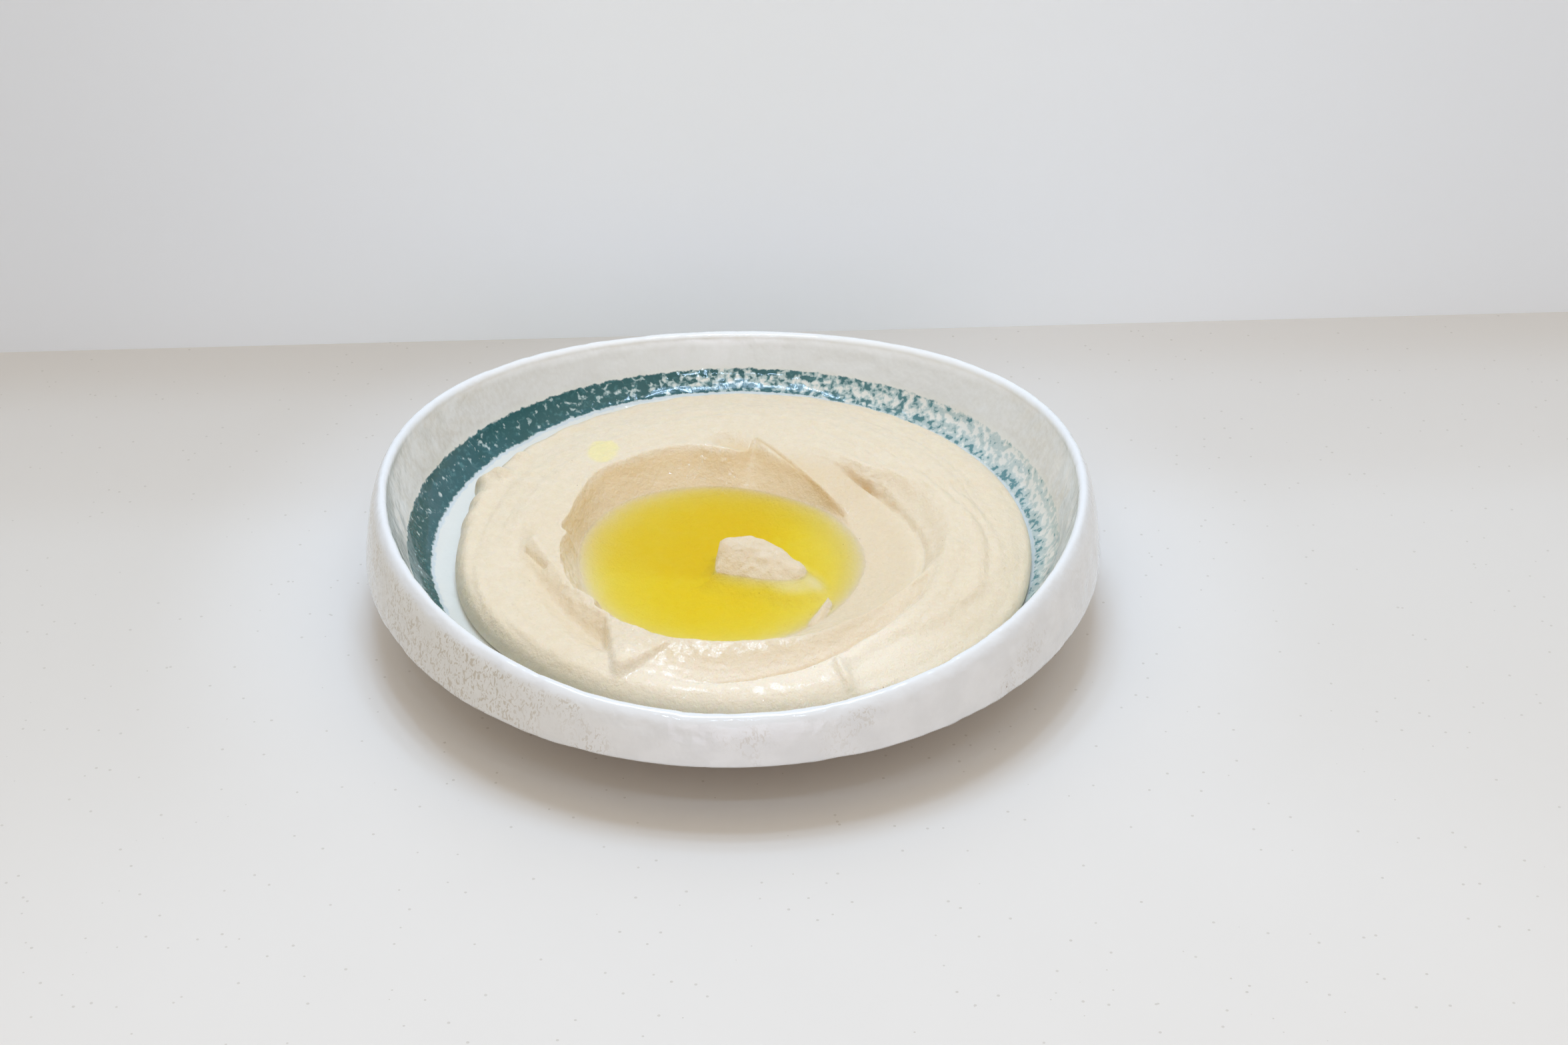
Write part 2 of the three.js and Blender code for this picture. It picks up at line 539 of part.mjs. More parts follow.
/** Underside of the oil at a point: the dip's top, raised by the gap square to its slope. */
function oilUnderside(x, y) {
  const slopeX = (swirledHeight(x + SLOPE_STEP, y) - swirledHeight(x - SLOPE_STEP, y)) / (2 * SLOPE_STEP);
  const slopeY = (swirledHeight(x, y + SLOPE_STEP) - swirledHeight(x, y - SLOPE_STEP)) / (2 * SLOPE_STEP);
  return swirledHeight(x, y) + OIL_LIFT * Math.hypot(1, slopeX, slopeY);
}

/** The oil as a ring of liquid round the lump, flat on top, down to the basin. */
function oilGeometry(columns) {
  const firstRow = LUMP_RINGS.length - 1;
  const shores = columns.map(({ angle, rows }) => {
    const dry = (distance) => oilUnderside(...columnPoint(angle, distance, () => 0)) >= OIL_Z;
    let inner = rows[firstRow];
    while (dry(inner)) inner += SHORE_STEP;
    let outer = inner;
    while (!dry(outer)) outer += SHORE_STEP;
    return { inner, outer };
  });
  const ring = (distance, height) => columns.map(
    (column, i) => columnPoint(column.angle, distance(column, i), height),
  );
  const level = () => OIL_Z;
  const innerShore = ring((_, i) => shores[i].inner, level);
  const rings = [innerShore, ring((_, i) => shores[i].outer, level)];
  for (let row = BASIN_ROWS - 1; row > 0; row -= 1) {
    const within = ({ rows }, i) => clamp(rows[firstRow + row], shores[i].inner, shores[i].outer);
    rings.push(ring(within, oilUnderside));
  }
  rings.push(innerShore);
  return mergeVertices(ringSkin(rings), WELD);
}

/** A closed geometry as a manifold solid. */
function solid(geometry) {
  const vertProperties = new Float32Array(geometry.attributes.position.array);
  const triVerts = new Uint32Array(geometry.index.array);
  return new wasm.Manifold(new wasm.Mesh({ numProp: 3, vertProperties, triVerts }));
}

/** One geometry less another. */
function cut(geometry, cutter) {
  const mesh = solid(geometry).subtract(solid(cutter)).getMesh();
  const result = new THREE.BufferGeometry();
  result.setAttribute('position', new THREE.BufferAttribute(mesh.vertProperties, 3));
  result.setIndex(new THREE.BufferAttribute(mesh.triVerts, 1));
  return result;
}

/** One named piece of the dish. */
function piece(name, geometry, color, roughness) {
  const material = new THREE.MeshStandardMaterial({ color, roughness, metalness: 0 });
  const mesh = new THREE.Mesh(geometry, material);
  mesh.name = name;
  return mesh;
}

const columns = gridColumns();
const dip = dipGeometry(columns);
const oil = cut(oilGeometry(columns), dip.clone().translate(0, 0, GAP));
const dish = new THREE.Group();
dish.add(piece('bowl', bowlGeometry(), '#e2e3e0', 0.2));
dish.add(piece('hummus', dip, '#e8d7b9', 0.55));
dish.add(piece('olive_oil', oil, '#dcc42f', 0.08));

export default dish;
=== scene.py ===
"""A glazed stoneware bowl of swirled hummus, with olive oil in its well."""
import logging
import math
from dataclasses import dataclass
from enum import Enum

import bpy
import numpy as np
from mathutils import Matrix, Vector, noise


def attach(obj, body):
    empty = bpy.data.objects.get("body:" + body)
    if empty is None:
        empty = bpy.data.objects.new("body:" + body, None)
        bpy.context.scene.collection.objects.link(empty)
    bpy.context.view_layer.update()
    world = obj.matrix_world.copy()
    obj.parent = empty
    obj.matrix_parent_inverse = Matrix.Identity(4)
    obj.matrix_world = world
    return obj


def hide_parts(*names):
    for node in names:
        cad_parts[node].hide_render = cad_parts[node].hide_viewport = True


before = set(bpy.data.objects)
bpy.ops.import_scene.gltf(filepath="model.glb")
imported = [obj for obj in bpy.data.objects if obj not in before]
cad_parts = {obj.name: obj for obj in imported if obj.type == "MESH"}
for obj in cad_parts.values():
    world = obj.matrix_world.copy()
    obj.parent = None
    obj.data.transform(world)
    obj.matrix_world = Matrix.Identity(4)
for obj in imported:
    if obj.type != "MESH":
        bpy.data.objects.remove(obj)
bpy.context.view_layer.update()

MM = 0.001
LOG = logging.getLogger("hummus_dish")
Array = np.ndarray
Colour = tuple[float, float, float]
Place = tuple[float, float, float]
Span = tuple[float, float]
Pairs = tuple[Span, ...]


# ---------------------------------------------------------------- shared tools


class Slot(Enum):
    """Material slots of the dish."""

    BOWL = "glazed_stoneware"
    DIP = "hummus"
    OIL = "olive_oil"


@dataclass(frozen=True)
class Grain:
    """Unevenness of a finish: its spots' size in millimetres, and how layered, twisted and tall they are."""

    size: float
    layers: float = 2.0
    rough: float = 0.5
    twist: float = 0.0
    upright: float = 1.0


class Bench:
    """Node tree of one material, with short calls for the nodes that the finishes share."""

    def __init__(self, name: str) -> None:
        """Start an empty node tree.

        Args:
            name: name of the material.
        """
        self.material = bpy.data.materials.new(name)
        self.material.use_nodes = True
        self.tree = self.material.node_tree
        self.tree.nodes.clear()
        self.output = self.tree.nodes.new("ShaderNodeOutputMaterial")
        self.place = self.add("ShaderNodeTexCoord").outputs["Object"]

    def add(self, kind: str, inputs: dict | None = None, **settings: object) -> bpy.types.Node:
        """Add a node.

        Args:
            kind: the node's type.
            inputs: values or sockets for its inputs, by name or number.
            settings: values for its own properties.

        Returns:
            The new node.
        """
        node = self.tree.nodes.new(kind)
        for key, value in settings.items():
            setattr(node, key, value)
        for key, value in (inputs or {}).items():
            if isinstance(value, bpy.types.NodeSocket):
                self.tree.links.new(value, node.inputs[key])
            elif isinstance(value, tuple) and len(node.inputs[key].default_value) == 4 and len(value) == 3:
                node.inputs[key].default_value = (*value, 1.0)
            else:
                node.inputs[key].default_value = value
        return node

    def math(self, operation: str, first: object, second: object = 0.0, third: object = 0.0) -> object:
        """Socket with the result of a sum on two or three numbers or sockets."""
        return self.add("ShaderNodeMath", {0: first, 1: second, 2: third}, operation=operation).outputs[0]

    def step(self, value: object, low: object, high: object) -> object:
        """Socket that goes smoothly from 0 to 1 as a value goes from low to high."""
        inputs = {"Value": value, "From Min": low, "From Max": high}
        return self.add("ShaderNodeMapRange", inputs, interpolation_type="SMOOTHSTEP").outputs[0]

    def times(self, first: object, second: object) -> object:
        """Socket with the product of two numbers or sockets."""
        return self.math("MULTIPLY", first, second)

    def less(self, first: object, second: object) -> object:
        """Socket with what is left of the first when the second is taken away."""
        return self.math("SUBTRACT", first, second)

    def rest(self, share: object) -> object:
        """Socket with what a share leaves of 1."""
        return self.less(1, share)

    def more(self, first: object, second: object) -> object:
        """Socket with the larger of two."""
        return self.math("MAXIMUM", first, second)

    def off(self, value: object, middle: float) -> object:
        """Socket with how far a value is from a middle."""
        return self.math("ABSOLUTE", self.less(value, middle))

    def line(self, value: object, slope: object, start: object) -> object:
        """Socket with a value times a slope, plus a start."""
        return self.math("MULTIPLY_ADD", value, slope, start)

    def past(self, value: object, place: float, span: Span) -> object:
        """Socket that steps from 0 to 1 as a value passes a place, over a span given from that place."""
        return self.step(value, place + span[0], place + span[1])

    def window(self, value: object, opening: Span, closing: Span) -> object:
        """Socket that steps from 0 to 1 over the first span and back to 0 over the second."""
        return self.times(self.step(value, *opening), self.rest(self.step(value, *closing)))

    def mottle(self, grain: Grain) -> object:
        """Socket with the unevenness of a grain over the piece, about 0.5 on average."""
        place = self.place
        if grain.upright != 1.0:
            stretch = (1, 1, 1 / grain.upright)
            place = self.add("ShaderNodeMapping", {"Vector": place, "Scale": stretch}).outputs[0]
        inputs = {"Vector": place, "Scale": 1 / (grain.size * MM), "Detail": float(grain.layers),
                  "Roughness": grain.rough, "Distortion": grain.twist}
        return self.add("ShaderNodeTexNoise", inputs).outputs["Fac"]

    def dots(self, cell: float, size: float) -> object:
        """Socket that is 1 in a dot in the middle of each cell."""
        cells = self.add("ShaderNodeTexVoronoi", {"Vector": self.place, "Scale": 1 / (cell * MM)})
        return self.math("LESS_THAN", cells.outputs["Distance"], size)

    def blend(self, share: object, first: object, second: object) -> object:
        """Socket with a mix of two colours.

        Args:
            share: share of the second colour.
            first: first colour or socket.
            second: second colour or socket.

        Returns:
            The mixed colour's socket.
        """
        node = self.add("ShaderNodeMix", data_type="RGBA")
        for key, value in ((0, share), (6, first), (7, second)):
            if isinstance(value, bpy.types.NodeSocket):
                self.tree.links.new(value, node.inputs[key])
            else:
                node.inputs[key].default_value = (*value, 1.0) if isinstance(value, tuple) else value
        return node.outputs[2]

    def attribute(self, name: str) -> object:
        """Socket with a number that the piece's points carry."""
        return self.add("ShaderNodeAttribute", attribute_name=name).outputs["Fac"]

    def facing(self, degrees: float) -> object:
        """Socket that is 1 on the side of the dish at one angle, and -1 on the opposite side.

        Args:
            degrees: the angle from +X, seen from above.

        Returns:
            The socket.
        """
        turn = math.radians(degrees)
        way = (math.cos(turn), math.sin(turn), 0)
        kind = "ShaderNodeVectorMath"
        flat = self.add(kind, {0: self.place, 1: (1, 1, 0)}, operation="MULTIPLY").outputs[0]
        unit = self.add(kind, {0: flat}, operation="NORMALIZE").outputs[0]
        return self.add(kind, {0: unit, 1: way}, operation="DOT_PRODUCT").outputs["Value"]

    def bump(self, height: object, depth_mm: float, under: object = None) -> object:
        """Normal of a relief.

        Args:
            height: its height from 0 to 1.
            depth_mm: its depth.
            under: normal of a coarser relief that it lies on.

        Returns:
            The normal's socket.
        """
        inputs = {"Height": height, "Distance": depth_mm * MM, "Strength": 1.0}
        if under is not None:
            inputs["Normal"] = under
        return self.add("ShaderNodeBump", inputs).outputs[0]

    def cover(self, share: object, under: bpy.types.Node, over: bpy.types.Node) -> bpy.types.Node:
        """Shader that is partly covered by another."""
        return self.add("ShaderNodeMixShader", {0: share, 1: under.outputs[0], 2: over.outputs[0]})

    def finish(self, shader: bpy.types.Node) -> bpy.types.Material:
        """Connect the surface."""
        self.tree.links.new(shader.outputs[0], self.output.inputs["Surface"])
        return self.material


@dataclass(frozen=True)
class Dial:
    """A size that changes smoothly with the angle, through (degrees, value) pairs."""

    pairs: Pairs
    closed: bool = True

    def at(self, angle: Array) -> Array:
        """Value at each angle.

        Args:
            angle: angles in degrees.

        Returns:
            The values.
        """
        knots = np.array(self.pairs, float)
        first, last = knots[0, 0], knots[-1, 0]
        if self.closed:
            lap = np.array([360.0, 0.0])
            knots = np.vstack([knots[-1:] - lap, knots, knots[:2] + lap])
            turned = first + np.mod(angle - first, 360)
        else:
            knots = np.vstack([knots[:1], knots, knots[-1:]])
            turned = np.clip(angle, first, last)
        place, value = knots.T
        slope = (value[2:] - value[:-2]) / (place[2:] - place[:-2])
        i = np.clip(np.searchsorted(place[1:-1], turned, side="right"), 1, len(place) - 3)
        span = place[i + 1] - place[i]
        t = (turned - place[i]) / span
        rise = (3 * t**2 - 2 * t**3) * (value[i + 1] - value[i])
        return value[i] + rise + span * ((t**3 - 2 * t**2 + t) * slope[i - 1] + (t**3 - t**2) * slope[i])


def arc(*pairs: Span) -> Dial:
    """Dial through (degrees, value) pairs over a part of the round, even beyond its ends."""
    return Dial(pairs, False)


def smooth(value: Array, low: float, high: float) -> Array:
    """Smooth step from 0 at low to 1 at high."""
    t = np.clip((value - low) / (high - low), 0, 1)
    return t * t * (3 - 2 * t)


def lower_of(first: Array, second: Array, width: float) -> Array:
    """Lower of two heights, with the crease between them rounded."""
    near = np.maximum(width - np.abs(first - second), 0) / width
    return np.minimum(first, second) - near**2 * width / 4


def higher_of(first: Array, second: Array, width: float) -> Array:
    """Higher of two heights, with the crease between them rounded, as in lower_of."""
    return -lower_of(-first, -second, width)


def bell(value: Array, middle: float, half: float) -> Array:
    """Bell curve with a top of 1 at a middle."""
    return np.exp(-(((value - middle) / half) ** 2))


def mix(share: Array, low: float, high: float) -> Array:
    """Value between low and high, by a share."""
    return low + (high - low) * share


@dataclass(frozen=True)
class Uneven:
    """Soft uneven values between about -1 and 1: their size in millimetres, finer layers and pattern."""

    size: float
    layers: int = 1
    pattern: float = 0.0

    def at(self, points: Array) -> Array:
        """Value at each point.

        Args:
            points: rows of x, y, z in millimetres.

        Returns:
            The values.
        """
        total = np.zeros(len(points))
        for layer in range(self.layers):
            places = points * (2**layer / self.size) + self.pattern
            total += np.array([noise.noise(Vector(place)) for place in places]) / 2**layer
        return total


def from_line(start: Span, end: Span, x: Array, y: Array) -> tuple[Array, Array, Array]:
    """Where places lie from a line.

    Args:
        start: where the line starts.
        end: where it ends.
        x: places along X.
        y: places along Y.

    Returns:
        How far along it they are, how far to its left, and how far past either end.
    """
    dx, dy = end[0] - start[0], end[1] - start[1]
    length = math.hypot(dx, dy)
    along = ((x - start[0]) * dx + (y - start[1]) * dy) / length
    aside = (dx * (y - start[1]) - dy * (x - start[0])) / length
    return along, aside, np.maximum(np.maximum(-along, along - length), 0)


def in_edit_mode(make: object) -> None:
    """Run a step on the active piece in edit mode.

    Args:
        make: the step, a function without arguments.
    """
    bpy.ops.object.mode_set(mode="EDIT")
    make()
    bpy.ops.object.mode_set(mode="OBJECT")


def fresh(name: str) -> bpy.types.Object:
    """Name the primitive that was just added.

    Args:
        name: name for the piece.

    Returns:
        The piece.
    """
    piece = bpy.context.object
    piece.name = name
    piece.data.name = name
    return piece


def read(piece: bpy.types.Object, name: str) -> Array:
    """Rows of three numbers that a piece's points have, such as their places or normals.

    Args:
        piece: the piece.
        name: what is read from each point.

    Returns:
        One row for each point.
    """
    flat = np.zeros(len(piece.data.vertices) * 3)
    piece.data.vertices.foreach_get(name, flat)
    return flat.reshape(-1, 3)


def columns_of(points: Array, count: int) -> Array:
    """Number of the column that each point of a turned primitive belongs to."""
    turn = np.degrees(np.arctan2(points[:, 1], points[:, 0]))
    return np.rint(turn * count / 360).astype(int) % count


def set_points(piece: bpy.types.Object, points: Array) -> None:
    """Move a piece's points."""
    piece.data.vertices.foreach_set("co", points.ravel())
    piece.data.update()


def carry(piece: bpy.types.Object, name: str, values: Array) -> None:
    """Store a number on each point of a piece, for its material."""
    layer = piece.data.attributes.new(name, "FLOAT", "POINT")
    layer.data.foreach_set("value", values.astype(np.float32))


def deliver(piece: bpy.types.Object, node: str | None, slot: Slot, material: bpy.types.Material) -> None:
    """Dress a piece and hand it to the frame.

    Args:
        piece: the finished piece.
        node: the solid that it stands for, if it stands for one.
        slot: its material slot.
        material: its material.
    """
    piece.data.materials.clear()
    piece.data.materials.append(material)
    piece.data.polygons.foreach_set("use_smooth", [True] * len(piece.data.polygons))
    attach(piece, "root")
    if node:
        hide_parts(node)
    LOG.info("%s: %d faces, slot %s", piece.name, len(piece.data.polygons), slot.value)


# ---------------------------------------------------------------- finishes


@dataclass(frozen=True)
class GlazeFinish:
    """White stoneware glaze with a sponged stripe inside and beige flecks.

    Sizes and runs are in millimetres and bearings in degrees. A span holds where a step starts and ends,
    or the slope and the start of a line.
    """

    white: Colour = (0.85, 0.865, 0.88)
    clouded: Colour = (0.799, 0.8131, 0.8272)
    toned: Colour = (0.73, 0.715, 0.655)
    lip: Colour = (0.82, 0.84, 0.86)
    # painted highlight: the lip is brighter on the far side
    lip_highlight: Colour = (0.93, 0.945, 0.95)
    wall: Colour = (0.66, 0.645, 0.60)
    # pale streaks and clouds of the wall, and the painted light on its far side
    wall_pale_and_lit: Colour = (0.82, 0.83, 0.82)
    floor: Colour = (0.80, 0.80, 0.75)
    stripe: Colour = (0.008, 0.098, 0.112)
    stripe_light: Colour = (0.055, 0.195, 0.212)
    stripe_right: Colour = (0.10, 0.26, 0.29)
    stripe_thin: Colour = (0.31, 0.47, 0.485)
    halo: Colour = (0.62, 0.70, 0.74)
    fleck: Colour = (0.52, 0.46, 0.36)
    pinhole: Colour = (0.30, 0.20, 0.17)
    clay: Colour = (0.52, 0.46, 0.38)
    # painted shade: a darker, warmer underside, to deepen the shade under the bowl
    under: Colour = (0.60, 0.50, 0.39)
    ior: float = 1.52
    roughness: float = 0.09
    roughness_spread: float = 0.08
    coat: float = 0.4
    coat_roughness: float = 0.03
    clay_roughness: float = 0.6
    clay_edge: float = 0.5
    sheen: Grain = Grain(3.0, 3)
    dimples: Grain = Grain(5.0, 2, 0.4)
    dimple_depth: float = 0.5
    pores: Grain = Grain(1.1)
    pore_depth: float = 0.03
    clouds: Grain = Grain(9.0, 3)
    streaks: Grain = Grain(1.6, 3, 0.6, upright=1.6)
    streak_span: Span = (0.3, 0.7)
    streak_share: float = 0.6
    cloud_span: Span = (0.35, 0.8)
    cloud_span_outside: Span = (0.35, 0.7)
    floor_end: Span = (-1.0, 3.0)
    wall_end: Span = (-3.0, 0.5)
    lip_end: Span = (2.5, 6.0)
    # painted light: the far side of the inner wall is made paler, as if lit from the front
    lit_far_wall_bearing: float = 80.0
    lit_far_wall_span: Span = (0.1, 0.95)
    lit_far_wall_share: float = 0.85
    # painted highlight: the lip is brighter and wider on the far side
    lip_highlight_bearing: float = 88.0
    lip_highlight_span: Span = (0.2, 0.95)
    lip_highlight_widening: float = 2.4
    lip_wander: float = 3.0
    toned_span: Span = (0.5, 1.0)
    toned_share: float = 0.7
    # where the painted shade of the underside starts
    under_shade_start: Span = (-62.0, -52.0)
    edge: Grain = Grain(2.2, 3)
    edge_wander: float = 2.4
    stripe_start: Span = (-0.3, 0.5)
    stripe_end: Span = (-0.4, 0.3)
    halo_place: float = 0.6
    halo_span: Span = (0.2, 1.0)
    halo_share: float = 0.8
    left_bearing: float = 170.0
    sponge: Grain = Grain(2.5, 2, 0.5, 0.25)
    row_span: Span = (0.6, 3.0)
    row_middle: float = 0.6
    row_gain: Span = (-0.05, 0.08)
    limit: Span = (-0.1, 0.455)
    solid_span: Span = (0.1, 0.8)
    solid_gain: float = 0.09
    right_span: Span = (-0.2, -0.9)
    right_rise: float = 0.016
    right_loss: float = 0.045
    thin_gap: Span = (0.06, 0.12)
    thin_edge: float = 0.16
    thin_share: Span = (-0.25, 0.8)
    ink_edge: float = 0.13
    ink_right: Span = (0.35, -1.0)
    inks: Grain = Grain(1.9, 2, 0.5, 0.3)
    ink_span: Span = (0.5, 0.78)
    flecked_bearing: float = 207.0
    flecks: Grain = Grain(1.3, 3, 0.6, 1.2, 1.6)
    fleck_span: Span = (0.51, 0.6)
    fleck_start: Span = (3.0, 6.0)
    thick_span: Span = (0.6, 1.0)
    fleck_share: Span = (0.8, 0.55)
    drifts: Grain = Grain(20, 3)
    drift_span: Span = (0.52, 0.76)
    drift_gain: float = 0.26
    pinhole_cell: float = 17.0
    pinhole_size: float = 0.02
    pinhole_share: float = 0.7

    def material(self, runs: "BowlRuns") -> bpy.types.Material:
        """Build the material.

        Args:
            runs: where the stripe, the lip and the foot lie along the bowl's section.

        Returns:
            The material.
        """
        bench = Bench("stoneware_glaze")
        run = bench.attribute("run")
        colour = self._ground(bench, run, runs)
        colour = self._stripe(bench, colour, run, runs)
        colour = self._flecks(bench, colour, run, runs)
        opening, closing = ((start, start + self.clay_edge) for start in (runs.foot, runs.foot_end))
        bare = bench.window(run, opening, closing)
        colour = bench.blend(bare, colour, self.clay)
        least = self.roughness - self.roughness_spread / 2
        rough = bench.line(bench.mottle(self.sheen), self.roughness_spread, least)
        rough = bench.line(bare, self.clay_roughness, rough)
        dimpled = bench.bump(bench.mottle(self.dimples), self.dimple_depth)
        shader = bench.add("ShaderNodeBsdfPrincipled", {
            "Base Color": colour, "Roughness": rough, "IOR": self.ior, "Coat Weight": self.coat,
            "Coat Roughness": self.coat_roughness,
            "Normal": bench.bump(bench.mottle(self.pores), self.pore_depth, dimpled),
        })
        return bench.finish(shader)

    def _ground(self, bench: Bench, run: object, runs: "BowlRuns") -> object:
        """Colours of the bare glaze: floor, wall, lip, outside and underside, with painted light that makes the
        far wall paler and the far lip brighter and wider, and painted shade that makes the underside darker and
        warmer.

        Args:
            bench: the material's bench.
            run: distance along the section.
            runs: where things lie along it.

        Returns:
            The colour's socket.
        """
        clouds = bench.mottle(self.clouds)
        streaks = bench.times(bench.step(bench.mottle(self.streaks), *self.streak_span), self.streak_share)
        wall = bench.blend(streaks, self.wall, self.wall_pale_and_lit)
        # painted light: the far side of the inner wall is made paler
        far = bench.times(bench.step(bench.facing(self.lit_far_wall_bearing), *self.lit_far_wall_span), self.lit_far_wall_share)
        wall = bench.blend(bench.more(bench.step(clouds, *self.cloud_span), far), wall, self.wall_pale_and_lit)
        colour = bench.blend(bench.past(run, runs.stripe_top, self.floor_end), self.floor, wall)
        # painted highlight: the far lip is brighter, and its bright zone is wider
        lip_highlight_share = bench.step(bench.facing(self.lip_highlight_bearing), *self.lip_highlight_span)
        lip_run = bench.line(lip_highlight_share, self.lip_highlight_widening, bench.line(clouds, self.lip_wander, run))
        lip = bench.blend(lip_highlight_share, self.lip, self.lip_highlight)
        colour = bench.blend(bench.past(lip_run, runs.lip, self.wall_end), colour, lip)
        outside = bench.blend(bench.step(clouds, *self.cloud_span_outside), self.clouded, self.white)
        toned = bench.step(bench.facing(self.flecked_bearing), *self.toned_span)
        outside = bench.blend(bench.times(toned, self.toned_share), outside, self.toned)
        colour = bench.blend(bench.past(run, runs.lip, self.lip_end), colour, outside)
        # painted shade: the underside is made darker and warmer, to deepen the shade under the bowl
        return bench.blend(bench.past(run, runs.foot, self.under_shade_start), colour, self.under)

    def _stripe(self, bench: Bench, colour: object, run: object, runs: "BowlRuns") -> object:
        """Sponge print of the stripe: solid on the left, broken up on the far side, pale dabs on the right.

        Args:
            bench: the material's bench.
            colour: the colour under it.
            run: distance along the section.
            runs: where things lie along it.

        Returns:
            The colour's socket.
        """
        ragged = bench.line(bench.line(bench.mottle(self.edge), 1, -0.5), self.edge_wander, run)
        below_top = bench.rest(bench.past(ragged, runs.stripe_top, self.stripe_end))
        inside = bench.times(bench.past(ragged, runs.stripe, self.stripe_start), below_top)
        halo = bench.rest(bench.step(bench.off(ragged, runs.stripe - self.halo_place), *self.halo_span))
        colour = bench.blend(bench.times(halo, self.halo_share), colour, self.halo)
        left = bench.facing(self.left_bearing)
        right = bench.step(left, *self.right_span)
        middle = (runs.stripe + runs.stripe_top) / 2
        rows = bench.line(bench.step(bench.off(run, middle), *self.row_span), 1, -self.row_middle)
        dabs = bench.line(rows, bench.line(left, *self.row_gain), bench.mottle(self.sponge))
        limit = bench.line(left, *self.limit)
        limit = bench.line(bench.step(left, *self.solid_span), -self.solid_gain, limit)
        limit = bench.line(bench.times(bench.less(run, middle), right), self.right_rise, limit)
        thin_limit = bench.less(limit, bench.line(right, *self.thin_gap))
        thin = bench.step(dabs, thin_limit, bench.line(thin_limit, 1, self.thin_edge))
        thin = bench.times(thin, bench.line(right, *self.thin_share))
        colour = bench.blend(bench.times(inside, thin), colour, self.stripe_thin)
        limit = bench.line(right, self.right_loss, limit)
        full = bench.step(dabs, limit, bench.line(limit, 1, self.ink_edge))
        ink = bench.blend(bench.step(bench.mottle(self.inks), *self.ink_span), self.stripe, self.stripe_light)
        ink = bench.blend(bench.step(left, *self.ink_right), ink, self.stripe_right)
        return bench.blend(bench.times(inside, full), colour, ink)

    def _flecks(self, bench: Bench, colour: object, run: object, runs: "BowlRuns") -> object:
        """Beige flecks in drifts on the outside, thick on the left, and a few brown pinholes.

        Args:
            bench: the material's bench.
            colour: the colour under them.
            run: distance along the section.
            runs: where things lie along it.

        Returns:
            The colour's socket.
        """
        outside = bench.past(run, runs.lip, self.fleck_start)
        thick = bench.times(bench.step(bench.facing(self.flecked_bearing), *self.thick_span), self.drift_gain)
        drift = bench.step(bench.line(bench.mottle(self.drifts), 1, thick), *self.drift_span)
        spots = bench.step(bench.mottle(self.flecks), *self.fleck_span)
        share = bench.times(bench.times(spots, drift), outside)
        share = bench.times(share, bench.line(thick, *self.fleck_share))
        colour = bench.blend(share, colour, self.fleck)
        pinholes = bench.times(bench.dots(self.pinhole_cell, self.pinhole_size), self.pinhole_share)
        return bench.blend(pinholes, colour, self.pinhole)


